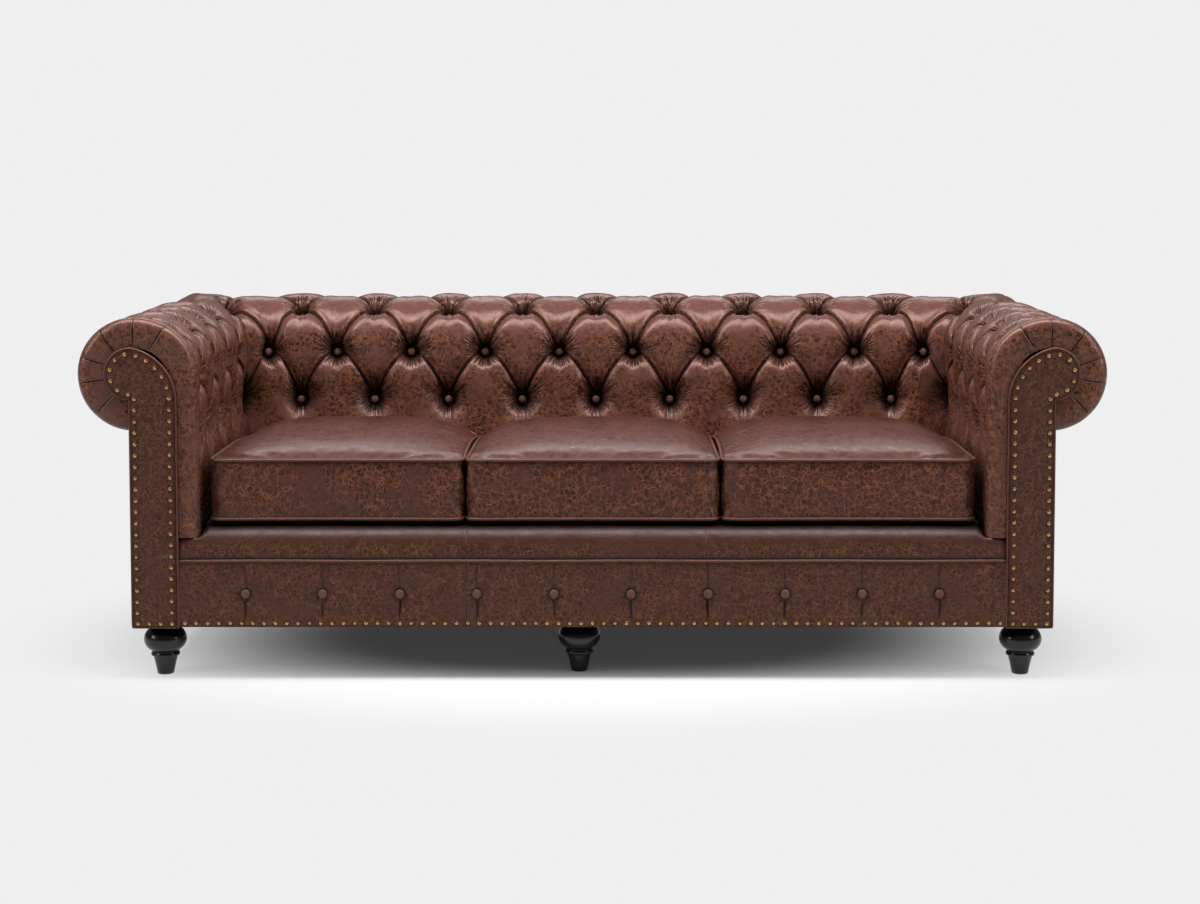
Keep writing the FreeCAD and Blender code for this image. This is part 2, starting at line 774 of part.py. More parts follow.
def facing_outline(side, grow):
    """The facing's outline, grown outward by a margin, as a closed wire on its front plane.

    Its foot stays level with the frame's underside unless the outline shrinks.
    """
    y = 0.0
    inner = float(facing_in_x) - grow
    outer = float(facing_out_x) + grow
    bottom = float(underside) - min(grow, 0.0)
    scroll = float(size("facing_scroll_radius")) + grow
    centre_x = float(facing_out_x)
    centre_z = float(axis_z + size("facing_scroll_rise"))
    shoulder = float(axis_z - size("facing_shoulder_drop"))
    top = centre_z + scroll
    rise = top - shoulder
    run = centre_x - inner
    bend = (run ** 2 + rise ** 2) / (2 * run)
    sweep = math.asin(rise / bend) if rise < bend else math.pi / 2
    middle = Vector(inner + bend * (1 - math.cos(sweep / 2)), y, shoulder + bend * math.sin(sweep / 2))
    corner_z = centre_z - math.sqrt(scroll ** 2 - grow ** 2)
    turn = math.pi / 4
    outer_middle = Vector(centre_x + scroll * math.cos(turn), y, centre_z + scroll * math.sin(turn))
    outer_low = Vector(centre_x + scroll * math.cos(turn), y, centre_z - scroll * math.sin(turn))
    places = [
        Vector(inner, y, bottom),
        Vector(inner, y, shoulder),
        middle,
        Vector(centre_x, y, top),
        outer_middle,
        Vector(centre_x + scroll, y, centre_z),
        outer_low,
        Vector(outer, y, corner_z),
        Vector(outer, y, bottom),
    ]
    points = [Vector(side * p.x, p.y, p.z) for p in places]
    edges = [
        Part.LineSegment(points[0], points[1]).toShape(),
        Part.Arc(points[1], points[2], points[3]).toShape(),
        Part.Arc(points[3], points[4], points[5]).toShape(),
        Part.Arc(points[5], points[6], points[7]).toShape(),
        Part.LineSegment(points[7], points[8]).toShape(),
        Part.LineSegment(points[8], points[0]).toShape(),
    ]
    return Part.Wire(edges)


def slab_of(wire, start, depth):
    """A plate of an upright outline, from a depth plane towards the back."""
    face = Part.Face(wire)
    face.translate(Vector(0, float(start), 0))
    return face.extrude(Vector(0, float(depth), 0))


def nail(centre):
    """A domed nail head, pointing to the front."""
    width = float(size("nail_radius"))
    tip = centre - Vector(0, float(size("nail_height")), 0)
    ring = []
    for i in range(HEAD_SIDES):
        angle = 2 * math.pi * i / HEAD_SIDES
        ring.append(centre + Vector(width * math.cos(angle), 0, width * math.sin(angle)))
    faces = [Part.Face(Part.makePolygon(ring + [ring[0]]))]
    for i in range(HEAD_SIDES):
        k = (i + 1) % HEAD_SIDES
        faces.append(Part.Face(Part.makePolygon([ring[i], ring[k], tip, ring[i]])))
    solid = Part.Solid(Part.Shell(faces))
    if solid.Volume < 0:
        solid.reverse()
    return solid


def nails_along(wire, plane_y):
    """Nails at an even pitch along a closed path."""
    count = int(wire.Length // float(size("nail_pitch")))
    places = wire.discretize(Number=count + 1)[:-1]
    return Part.makeCompound([nail(Vector(p.x, float(plane_y), p.z)) for p in places])


BAND_STEPS = 8
BAND_DEPTH_SHARES = (0.0, 0.4, 1.0)
BAND_START_SHARE = 0.05


def band_sections(side):
    """Outlines of the padded arm front, from its rounded front edge to the tufting."""
    inset = float(size("band_inset"))
    round_in = float(size("band_round"))
    depth = float(size("band_depth"))
    low = float(tongue_top + size("pad_clearance") - axis_z)
    sections = []
    for part in BAND_DEPTH_SHARES:
        lean = round_in * (1 - part) ** 2 + inset
        y = float(band_y) + depth * part
        points = [crest(low, -lean), crest(-lean, -lean)]
        for i in range(BAND_STEPS + 1):
            turned = BAND_START_SHARE + (1 - BAND_START_SHARE) * i / BAND_STEPS
            points.append(crest(row_end * turned, -lean))
        points += [(0.0, -float(core)), (-float(core), -float(core)), (-float(core), low)]
        sections.append([Vector(side * (float(axis_x) + w), y, float(axis_z) + z) for w, z in points])
    return sections


for word, side in SIDES.items():
    outline = facing_outline(side, 0.0)
    keep(shaped(f"Facing{word}", slab_of(outline, face_y, size("facing_thickness"))), f"facing_{word}")
    welt_outer = facing_outline(side, float(size("facing_welt_width")))
    welt_inner = facing_outline(side, seam)
    welt_y = band_y - size("facing_welt_height")
    ring = slab_of(welt_outer, welt_y, size("facing_welt_height"))
    ring = ring.cut(slab_of(welt_inner, welt_y, size("facing_welt_height")))
    keep(shaped(f"FacingWelt{word}", ring), f"facing_welt_{word}")
    path = facing_outline(side, -float(size("nail_edge_distance")))
    keep(shaped(f"FacingNails{word}", nails_along(path, face_y)), f"facing_nails_{word}")
    keep(shaped(f"ArmFront{word}", skinned(band_sections(side))), f"arm_front_{word}")


# Border with its pleats, buttons, nails and welt, and the lip above it

border_x = facing_in_x - size("facing_welt_width")
border_half = float(border_x)
border_bottom = float(underside)
border_pitch = float(size("border_button_pitch"))
border_columns = []
column_x = border_pitch / 2
while column_x < border_half - border_pitch / 4:
    border_columns = [-column_x] + border_columns + [column_x]
    column_x += border_pitch

border_sections = []
pleat = float(size("border_pleat_depth"))
half_pleat = float(size("border_pleat_width")) / 2
border_stations = [(-border_half, 0.0)]
for x in border_columns:
    border_stations += [(x - half_pleat, 0.0), (x, pleat), (x + half_pleat, 0.0)]
border_stations.append((border_half, 0.0))
for x, dip in border_stations:
    front = float(border_y)
    rear = float(rail_y)
    border_sections.append([
        Vector(x, front, border_bottom),
        Vector(x, front + dip, border_bottom + float(size("nail_pitch"))),
        Vector(x, front + dip, float(border_top)),
        Vector(x, rear, float(border_top)),
        Vector(x, rear, border_bottom),
    ])
keep(shaped("FrontBorder", skinned(border_sections)), "front_border")

button_z = float(underside + size("border_button_height"))
seat = float(size("button_radius")) * BUTTON_SHARES[0][1]
button_y = float(border_y) + pleat * (1 - seat / half_pleat) - seam
solids = [button(Vector(x, button_y, button_z), Vector(0, -1, 0)) for x in border_columns]
keep(shaped("BorderButtons", Part.makeCompound(solids)), "border_buttons")

nail_row_z = float(underside + size("nail_edge_distance"))
count = int(2 * border_half // float(size("nail_pitch")))
spacing = 2 * border_half / count
solids = []
for i in range(count):
    solids.append(nail(Vector(spacing * (i + 0.5) - border_half, float(border_y), nail_row_z)))
keep(shaped("BorderNails", Part.makeCompound(solids)), "border_nails")

welt_low = (-border_x, border_y - size("welt_size") / 2, border_top)
welt_high = (border_x, rail_y, lip_bottom)
keep(block("BorderWelt", welt_low, welt_high), "border_welt")


LIP_STEPS = 5


def lip_front(limit):
    """Depth and height of the lip's rounded front, up to a height over its foot."""
    front = float(border_y)
    low = float(lip_bottom)
    height = float(lip_top) - low
    depth = float(size("lip_wall") + size("lip_tongue_height") / 2)
    reach = math.asin(limit / height)
    points = [(front, low)]
    for i in range(1, LIP_STEPS + 1):
        angle = reach * i / LIP_STEPS
        points.append((front + depth * (1 - math.cos(angle)), low + height * math.sin(angle)))
    return points


def lip_part(x_low, x_high, points):
    """A straight part of the lip, along the sofa."""
    return skinned([[Vector(x, y, z) for y, z in points] for x in (x_low, x_high)])


lip_x = float(slab_x - size("pad_clearance"))
wall_y = float(rail_y)
back_y = float(lip_back_y)
foot = (wall_y, float(lip_bottom))
rest = [(back_y, float(lip_top)), (back_y, float(web_top)), (wall_y, float(web_top))]
lip = lip_part(-lip_x, lip_x, [foot] + lip_front(float(lip_top - lip_bottom)) + rest)
tongue_height = float(size("lip_tongue_height"))
tongue = [foot] + lip_front(tongue_height) + [(wall_y, float(lip_bottom) + tongue_height)]
tongues = [lip_part(-border_half, -lip_x, tongue), lip_part(lip_x, border_half, tongue)]
keep(shaped("FrontLip", lip.fuse(tongues)), "front_lip")


# Loose seat cushions: a boxed cover with piped seams and a crown, over a foam core

CORNER_STEPS = 2
BOW_STEPS = 5
# Pairs of rise and inward shares of the crown, from the top seam to its flat middle
CROWN_SHARES = ((0.0, 0.0), (0.3, 0.1), (0.62, 0.26), (0.86, 0.5), (1.0, 0.78))


def rounded_loop(low, high, z, inset, corner, drawn):
    """Points round a rounded rectangle whose sides bow in between the corners."""
    x0, y0 = low[0] + inset, low[1] + inset
    x1, y1 = high[0] - inset, high[1] - inset
    near_x, near_y = x0 + corner, y0 + corner
    far_x, far_y = x1 - corner, y1 - corner
    centres = [(near_x, near_y), (far_x, near_y), (far_x, far_y), (near_x, far_y)]
    inward = [(0, 1), (-1, 0), (0, -1), (1, 0)]
    points = []
    for i, (cx, cy) in enumerate(centres):
        for turn in range(CORNER_STEPS + 1):
            angle = math.pi + math.pi / 2 * (i + turn / CORNER_STEPS)
            points.append(Vector(cx + corner * math.cos(angle), cy + corner * math.sin(angle), z))
        start = points[-1]
        nx, ny = centres[(i + 1) % 4]
        angle = math.pi + math.pi / 2 * (i + 1)
        end = Vector(nx + corner * math.cos(angle), ny + corner * math.sin(angle), z)
        for step in range(1, BOW_STEPS):
            part = step / BOW_STEPS
            bow = drawn * math.sin(math.pi * part)
            along = start + (end - start) * part
            points.append(along + Vector(inward[i][0] * bow, inward[i][1] * bow, 0))
    return points


cushion_left = slab_x - size("cushion_side_gap")
cushion_width = (cushion_left * 2 - size("cushion_gap") * 2) / 3
cushion_front = face_y + size("cushion_setback")
cushion_back = slab_y - size("cushion_back_gap")


def cushion_cover(low, high, base):
    """The outside of a cushion through bowed outlines, from its base to its crown."""
    seam_height = float(size("cushion_seam_height"))
    piping = float(size("cushion_piping"))
    corner = float(size("cushion_corner_radius"))
    drawn = float(size("cushion_drawn_in"))
    crown = float(size("cushion_crown"))
    half = (high[0] - low[0]) / 2 - corner * 2
    loops = [
        rounded_loop(low, high, base, piping, corner, drawn),
        rounded_loop(low, high, base + piping, 0.0, corner, drawn),
        rounded_loop(low, high, base + seam_height / 2, 0.0, corner, drawn / 2),
    ]
    for rise, inward in CROWN_SHARES:
        z = base + seam_height + crown * rise
        loops.append(rounded_loop(low, high, z, half * inward, corner * (1 + inward), drawn))
    return skinned(loops)


wall = size("cover_wall")
gap = size("foam_clearance")
for i, word in enumerate(("left", "middle", "right")):
    x_low = -cushion_left + (cushion_width + size("cushion_gap")) * i
    x_high = x_low + cushion_width
    low = (float(x_low), float(cushion_front))
    high = (float(x_high), float(cushion_back))
    outside = shaped(f"CushionForm{word}", cushion_cover(low, high, float(deck_top)))
    cavity_low = (x_low + wall, cushion_front + wall, deck_top + wall)
    cavity_high = (x_high - wall, cushion_back - wall, deck_top + size("cushion_seam_height"))
    cavity = block(f"CushionCavity{word}", cavity_low, cavity_high)
    keep(cut(f"CushionCover{word}", outside, [cavity]), f"seat_cushion_{word}")
    foam_low = tuple(value + gap for value in cavity_low)
    foam_high = tuple(value - gap for value in cavity_high)
    keep(block(f"CushionFoam{word}", foam_low, foam_high), f"cushion_foam_{word}")


# Turned feet on bolts

def ring_at(x, y, reach, z):
    """Points of a level ring about an upright axis."""
    points = []
    for i in range(TURNED_SIDES):
        angle = 2 * math.pi * (i + 0.5) / TURNED_SIDES
        points.append(Vector(x + reach * math.cos(angle), y + reach * math.sin(angle), z))
    return points


def foot(x, y):
    """A foot turned about its axis: tapered tip, ring, squat ball, collar and bolt socket."""
    taper = float(size("foot_taper_height"))
    bead = float(size("foot_ring_height"))
    height = float(size("foot_height"))
    curve = float(size("foot_ball_curve"))
    centre_z = float(size("foot_ball_height"))
    centre_r = float(size("foot_ball_radius")) - curve
    collar = float(size("foot_collar_radius"))
    collar_low = height - float(size("foot_collar_height"))
    socket_low = height - float(size("bolt_depth"))
    profile = [
        (float(size("foot_tip_radius")), 0.0),
        (float(size("foot_taper_radius")), taper),
        (float(size("foot_ring_radius")), taper + bead / 4),
        (float(size("foot_ring_radius")), taper + bead),
    ]
    low_angle = math.asin(max(-1.0, (taper + bead - centre_z) / curve))
    high_angle = math.asin(min(1.0, (collar_low - centre_z) / curve))
    steps = 6
    for step in range(steps + 1):
        angle = low_angle + (high_angle - low_angle) * step / steps
        profile.append((centre_r + curve * math.cos(angle), centre_z + curve * math.sin(angle)))
    profile += [
        (collar, collar_low),
        (collar, height),
        (float(hole_radius), height),
        (float(hole_radius), socket_low),
    ]
    return skinned([ring_at(float(x), float(y), reach, z) for reach, z in profile])


bolts = []
for word, spots in foot_places.items():
    keep(shaped(f"Feet{word}", Part.makeCompound([foot(x, y) for x, y in spots])), f"{word}_feet")
    for i, (x, y) in enumerate(spots):
        bolt_bottom = size("foot_height") - size("bolt_depth")
        bolts.append(rod(f"FootBolt{word}{i}", size("bolt_radius"), size("bolt_length"), x, y, bolt_bottom))
keep(group("FootBolts", bolts), "foot_bolts")

doc.recompute()

faults = []
for obj in doc.Objects:
    if "Invalid" in obj.State or "Error" in obj.State:
        faults.append(f"{obj.Label}: {obj.State}")
for obj in subparts:
    if obj.Shape.isNull() or not obj.Shape.isValid() or not obj.Shape.Solids:
        faults.append(f"{obj.Label}: no valid solid")
if faults:
    raise RuntimeError("; ".join(faults))

os.makedirs("parts", exist_ok=True)
for obj in subparts:
    obj.Shape.exportStep(f"parts/{obj.Label}.step")
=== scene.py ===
"""Looks of a tufted leather sofa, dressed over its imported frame."""

import functools
import json
import logging
import math
from dataclasses import dataclass, field
from enum import Enum
from typing import Any, Callable, Optional, Sequence

import bmesh
import bpy
import numpy as np
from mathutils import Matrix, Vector, noise
from mathutils.geometry import delaunay_2d_cdt

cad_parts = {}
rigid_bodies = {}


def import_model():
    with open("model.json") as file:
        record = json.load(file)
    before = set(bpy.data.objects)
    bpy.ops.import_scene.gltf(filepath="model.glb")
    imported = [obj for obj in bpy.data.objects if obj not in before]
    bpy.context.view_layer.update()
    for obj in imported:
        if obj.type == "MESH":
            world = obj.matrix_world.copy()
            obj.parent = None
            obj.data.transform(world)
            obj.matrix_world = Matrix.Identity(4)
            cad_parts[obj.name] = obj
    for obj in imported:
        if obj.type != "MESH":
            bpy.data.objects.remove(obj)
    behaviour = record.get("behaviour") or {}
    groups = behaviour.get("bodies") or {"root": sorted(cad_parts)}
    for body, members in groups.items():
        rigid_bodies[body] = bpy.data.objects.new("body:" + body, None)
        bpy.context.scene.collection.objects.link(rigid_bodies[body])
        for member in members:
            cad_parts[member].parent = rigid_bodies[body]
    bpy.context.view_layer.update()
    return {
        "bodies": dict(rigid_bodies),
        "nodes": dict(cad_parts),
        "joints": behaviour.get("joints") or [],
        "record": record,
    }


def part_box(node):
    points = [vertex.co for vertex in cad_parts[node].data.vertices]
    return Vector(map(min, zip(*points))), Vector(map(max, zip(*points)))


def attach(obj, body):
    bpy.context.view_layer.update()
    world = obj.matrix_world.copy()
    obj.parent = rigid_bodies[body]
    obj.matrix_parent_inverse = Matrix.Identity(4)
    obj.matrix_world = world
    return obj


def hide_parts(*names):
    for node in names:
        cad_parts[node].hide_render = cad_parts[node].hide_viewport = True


LOG = logging.getLogger("sofa")
MM = 0.001
# The photograph's size in pixels, from which the camera's frame is worked out
IMAGE_WIDTH = 1200
IMAGE_HEIGHT = 904
# A wave texture of this scale repeats once in each unit of length
WAVE = math.pi / 10
# Sockets of a colour Mix node by number, because its sockets for numbers and vectors have the same names
FACTOR, BELOW, ABOVE, MIXED = 0, 6, 7, 2
RGBA = {"data_type": "RGBA"}
SMOOTH = {"interpolation_type": "SMOOTHSTEP"}
Point = tuple[float, float, float]
PointAt = Callable[[np.ndarray, np.ndarray, np.ndarray], np.ndarray]


class Part(Enum):
    """A part of the sofa that comes more than once."""

    @property
    def word(self) -> str:
        """The part's name as the frame's nodes use it."""
        return self.name.lower()


class Side(Part):
    """The two arms, with the sign of their X."""

    LEFT = -1
    RIGHT = 1


class Seat(Part):
    """The three seats, counted from the left."""

    LEFT = 0
    MIDDLE = 1
    RIGHT = 2


# Materials


def colour(code: str) -> tuple[float, float, float, float]:
    """Turn an sRGB hex colour to linear.

    Args:
        code: Six hex digits after a hash sign.

    Returns:
        Linear red, green and blue, and an alpha of one.
    """
    parts = [int(code[i : i + 2], 16) / 255 for i in (1, 3, 5)]
    red, green, blue = [p / 12.92 if p <= 0.04045 else ((p + 0.055) / 1.055) ** 2.4 for p in parts]
    return red, green, blue, 1.0


def add_node(tree: Any, kind: str, inputs: Any = (), output: Any = 0, **settings: Any) -> Any:
    """Add a shader node with its settings, values and links.

    Args:
        tree: The node tree to add to.
        kind: The node's type name without its prefix.
        inputs: Value or socket for each input, by the input's name or number, or in the inputs' order.
        output: Name or number of the output to return.
        settings: Properties to set on the node.

    Returns:
        The output's socket, or None for a node without outputs.
    """
    node = tree.nodes.new(f"ShaderNode{kind}")
    for name, value in settings.items():
        setattr(node, name, value)
    for name, value in inputs.items() if isinstance(inputs, dict) else enumerate(inputs):
        socket = node.inputs[name]
        if isinstance(value, bpy.types.NodeSocket):
            tree.links.new(value, socket)
        else:
            socket.default_value = value
    return node.outputs[output] if len(node.outputs) else None


def new_material(name: str) -> tuple[bpy.types.Material, Any, Any]:
    """Start a node material.

    Args:
        name: The material's name.

    Returns:
        The material, its empty node tree, and the object coordinates' socket in metres.
    """
    material = bpy.data.materials.new(name)
    material.use_nodes = True
    tree = material.node_tree
    tree.nodes.clear()
    return material, tree, add_node(tree, "TexCoord", output="Object")


@dataclass(frozen=True)
class Leather:
    """Pull-up cowhide: aniline dyed, waxed, rubbed back by hand and stretched over stuffing.

    Stretching breaks the wax: pale orange veins over dark patches, with a soft satin sheen between them.
    """

    name: str
    ground: str = "#472A22"
    shade: str = "#1F100B"
    rubbed: str = "#7E4D36"
    wax: str = "#52352C"
    # Near-black painted shade for creases, pits and folds
    fold: str = "#080403"
    sheen: str = "#F0CCC2"
    vein_mm: float = 17.0
    crackle: float = 0.8
    worn: float = 0.5
    warp_mm: float = 24.0
    patch_mm: float = 110.0
    mottle_mm: float = 16.0
    grain_mm: float = 3.0
    roughness: float = 0.4
    relief_mm: float = 0.5
    gathers: float = 0.0
    gather_mm: float = 3.0
    gather_rays: float = 5.6

    def cracks(self, tree: Any, bent: Any) -> Any:
        """Lines between the cells of the broken wax, in two sizes, and long loose scratches.

        Args:
            tree: The leather's node tree.
            bent: Warped coordinates.

        Returns:
            Socket with the lines' strength.
        """
        often = 1 / (self.vein_mm * MM)
        scratch = add_node(tree, "TexNoise", {"Vector": bent, "Scale": 0.55 * often, "Detail": 1.5})
        scratch = add_node(tree, "Math", (scratch, 0.5), operation="SUBTRACT")
        scratch = add_node(tree, "Math", (scratch,), operation="ABSOLUTE")
        lines = add_node(tree, "MapRange", (scratch, 0.003, 0.011, 1.0, 0.0), **SMOOTH)
        for finer, edge, strength in ((1.0, 0.1, 1.0), (1.9, 0.12, 0.55)):
            cells = {"Vector": bent, "Scale": finer * often}
            crack = add_node(tree, "TexVoronoi", cells, "Distance", feature="DISTANCE_TO_EDGE")
            crack = add_node(tree, "MapRange", (crack, 0.03, edge, strength, 0.0), **SMOOTH)
            lines = add_node(tree, "Math", (lines, crack), operation="MAXIMUM")
        return lines

    def pulls(self, tree: Any, place: Any) -> Any:
        """Small folds that run out from each button, longer above it than below.

        Args:
            tree: The leather's node tree.
            place: Object coordinates.

        Returns:
            Socket with the folds' strength.
        """
        way = add_node(tree, "Attribute", (), "Vector", attribute_name="gather")
        across, rise, weight = [add_node(tree, "SeparateXYZ", {"Vector": way}, axis) for axis in "XYZ"]
        turn = add_node(tree, "Math", (across, rise), operation="ARCTAN2")
        odd = add_node(tree, "SeparateXYZ", {"Vector": place}, "X")
        rays = ((turn, self.gather_rays), (rise, 14.0), (odd, 9.0))
        spot = [add_node(tree, "Math", pair, operation="MULTIPLY") for pair in rays]
        spot = add_node(tree, "CombineXYZ", spot)
        pull = add_node(tree, "TexNoise", {"Vector": spot, "Scale": 1.0, "Detail": 1.0, "Roughness": 0.4})
        pull = add_node(tree, "Math", (pull, 0.5), operation="SUBTRACT")
        pull = add_node(tree, "Math", (pull,), operation="ABSOLUTE")
        pull = add_node(tree, "MapRange", (pull, 0.0, 0.11, 1.0, 0.0), **SMOOTH)
        for share in (weight, self.gathers):
            pull = add_node(tree, "Math", (pull, share), operation="MULTIPLY")
        return pull

    def build(self) -> bpy.types.Material:
        """Make the leather: dark rubbed patches, pale veins, fine grain and the small folds at the buttons, with
        painted shade in its creases, pits and folds.

        Returns:
            The material.
        """
        material, tree, place = new_material(self.name)
        warp = {"Vector": place, "Scale": 1 / (self.warp_mm * MM), "Detail": 3.0}
        shift = add_node(tree, "TexNoise", warp, "Color")
        shift = add_node(tree, "VectorMath", {0: shift, "Scale": 0.014}, operation="SCALE")
        bent = add_node(tree, "VectorMath", (place, shift), operation="ADD")
        patch = {"Vector": place, "Scale": 1 / (self.patch_mm * MM), "Detail": 4.0, "Roughness": 0.6}
        patch = add_node(tree, "TexNoise", patch)
        mottle = {"Vector": place, "Scale": 1 / (self.mottle_mm * MM), "Detail": 5.0, "Roughness": 0.7}
        mottle = add_node(tree, "TexNoise", mottle)
        area = add_node(tree, "MapRange", (patch, self.worn - 0.1, self.worn + 0.08, 0.1, 1.0), **SMOOTH)
        broken = add_node(tree, "MapRange", (mottle, 0.38, 0.6, 0.25, 1.0), **SMOOTH)
        # Wax stays closed on faces that look up, where people sit and lean, so that they show fewer veins; the dark
        # cells and blotches below are cut there too, painted shade that leaves upright faces darker than faces that
        # look up
        upward = add_node(tree, "SeparateXYZ", {"Vector": add_node(tree, "TexCoord", (), "Normal")}, "Z")
        upright_crackle_and_shade = add_node(tree, "MapRange", (upward, 0.1, 0.6, 1.0, 0.25), **SMOOTH)
        veins = self.cracks(tree, bent)
        for share in (area, broken, self.crackle, upright_crackle_and_shade):
            veins = add_node(tree, "Math", (veins, share), operation="MULTIPLY")
        # Dye that settled dark in some cells, mostly where the wax is worn, laid thicker on upright faces as painted
        # shade
        dark = add_node(tree, "TexVoronoi", {"Vector": bent, "Scale": 1.6 / (self.vein_mm * MM)}, "Color")
        dark = add_node(tree, "MapRange", (dark, 0.3, 0.75, 0.3, 0.95), **SMOOTH)
        for share in (area, upright_crackle_and_shade):
            dark = add_node(tree, "Math", (dark, share), operation="MULTIPLY")
        blotch = add_node(tree, "MapRange", (mottle, 0.52, 0.72, 0.0, 0.65), **SMOOTH)
        # Blotches too are cut on faces that look up: painted shade on upright faces
        blotch = add_node(tree, "Math", (blotch, upright_crackle_and_shade), operation="MULTIPLY")
        haze = add_node(tree, "MapRange", (mottle, 0.46, 0.28, 0.0, 0.5), **SMOOTH)
        pull = self.pulls(tree, place)
        # Painted shade: near-black in creases, pleats and pits from the crease attribute, and along the small folds at
        # the buttons
        fold = add_node(tree, "Attribute", (), "Fac", attribute_name="crease")
        fold = add_node(tree, "MapRange", (fold, 0.0, 1.0, 0.0, 0.95))
        shadow = add_node(tree, "Math", (pull, 0.92), operation="MULTIPLY")
        fold = add_node(tree, "Math", (fold, shadow), operation="MAXIMUM")
        base = colour(self.ground)
        layers = ((dark, self.shade), (blotch, self.shade), (haze, self.wax), (veins, self.rubbed), (fold, self.fold))
        for share, tone in layers:
            base = add_node(tree, "Mix", {FACTOR: share, BELOW: base, ABOVE: colour(tone)}, MIXED, **RGBA)
        rough = add_node(tree, "MapRange", (mottle, 0.3, 0.7, self.roughness - 0.07, self.roughness + 0.12))
        # Real pores are under a millimetre, drawn coarser here so that they show
        pores = {"Vector": bent, "Scale": 1 / (self.grain_mm * MM), "Smoothness": 0.5}
        grain = add_node(tree, "TexVoronoi", pores, "Distance", feature="SMOOTH_F1")
        relief = add_node(tree, "Bump", {"Strength": 0.5, "Distance": self.relief_mm * 0.5 * MM, "Height": grain})
        for height, strength, deep_mm, sunk in (
            (veins, 0.4, self.relief_mm, True),
            (mottle, 0.4, self.relief_mm * 2.5, False),
            (pull, 0.9, self.gather_mm, True),
        ):
            bump = {"Strength": strength, "Distance": deep_mm * MM, "Height": height, "Normal": relief}
            relief = add_node(tree, "Bump", bump, invert=sunk)
        hide = {"Base Color": base, "Roughness": rough, "IOR": 1.48, "Specular IOR Level": 0.5}
        shader = add_node(tree, "BsdfPrincipled", {**hide, "Specular Tint": colour(self.sheen), "Normal": relief})
        add_node(tree, "OutputMaterial", {"Surface": shader})
        return material


@dataclass(frozen=True)
class AgedBrass:
    """Drawn brass nail heads: bright on the rubbed crown of each dome, tarnished brown at its rim."""

    name: str = "aged_brass_nail_heads"
    bright: str = "#C89664"
    tarnish: str = "#3B2214"
    blotch_mm: float = 7.0

    def build(self) -> bpy.types.Material:
        """Make the brass: bright where rubbed, brown in blotches.

        Returns:
            The material.
        """
        material, tree, place = new_material(self.name)
        blotch = add_node(tree, "TexNoise", {"Vector": place, "Scale": 1 / (self.blotch_mm * MM), "Detail": 3.0})
        rim = add_node(tree, "Attribute", (), "Fac", attribute_name="crease")
        stain = add_node(tree, "Math", (rim, blotch), operation="ADD")
        worn = add_node(tree, "MapRange", (stain, 0.55, 1.25, 0.0, 1.0), **SMOOTH)
        tones = {FACTOR: worn, BELOW: colour(self.bright), ABOVE: colour(self.tarnish)}
        base = add_node(tree, "Mix", tones, MIXED, **RGBA)
        rough = add_node(tree, "MapRange", (worn, 0.0, 1.0, 0.24, 0.6))
        shader = add_node(tree, "BsdfPrincipled", {"Base Color": base, "Roughness": rough, "Metallic": 1.0})
        add_node(tree, "OutputMaterial", {"Surface": shader})
        return material


@dataclass(frozen=True)
class BlackLacquer:
    """Beech turned on a lathe and sprayed with black satin lacquer: near black, with faint turning rings."""

    name: str = "black_lacquered_beech"
    ground: str = "#050505"
    lift: str = "#0C0B0B"
    ring_mm: float = 5.0

    def build(self) -> bpy.types.Material:
        """Make the lacquer, with soft rings under the gloss.

        Returns:
            The material.
        """
        material, tree, place = new_material(self.name)
        waves = {"Vector": place, "Scale": WAVE / (self.ring_mm * MM), "Distortion": 1.5, "Detail": 2.0}
        rings = add_node(tree, "TexWave", waves, "Fac", bands_direction="Z")
        dust = add_node(tree, "TexNoise", {"Vector": place, "Scale": 1 / (12 * MM), "Detail": 4.0})
        share = add_node(tree, "MapRange", (dust, 0.35, 0.75, 0.0, 1.0))
        tones = {FACTOR: share, BELOW: colour(self.ground), ABOVE: colour(self.lift)}
        base = add_node(tree, "Mix", tones, MIXED, **RGBA)
        rough = add_node(tree, "MapRange", (dust, 0.3, 0.7, 0.17, 0.26))
        relief = add_node(tree, "Bump", {"Strength": 0.12, "Distance": 0.2 * MM, "Height": rings})
        lacquer = {"Base Color": base, "Roughness": rough, "IOR": 1.5, "Normal": relief}
        shader = add_node(tree, "BsdfPrincipled", lacquer)
        add_node(tree, "OutputMaterial", {"Surface": shader})
        return material


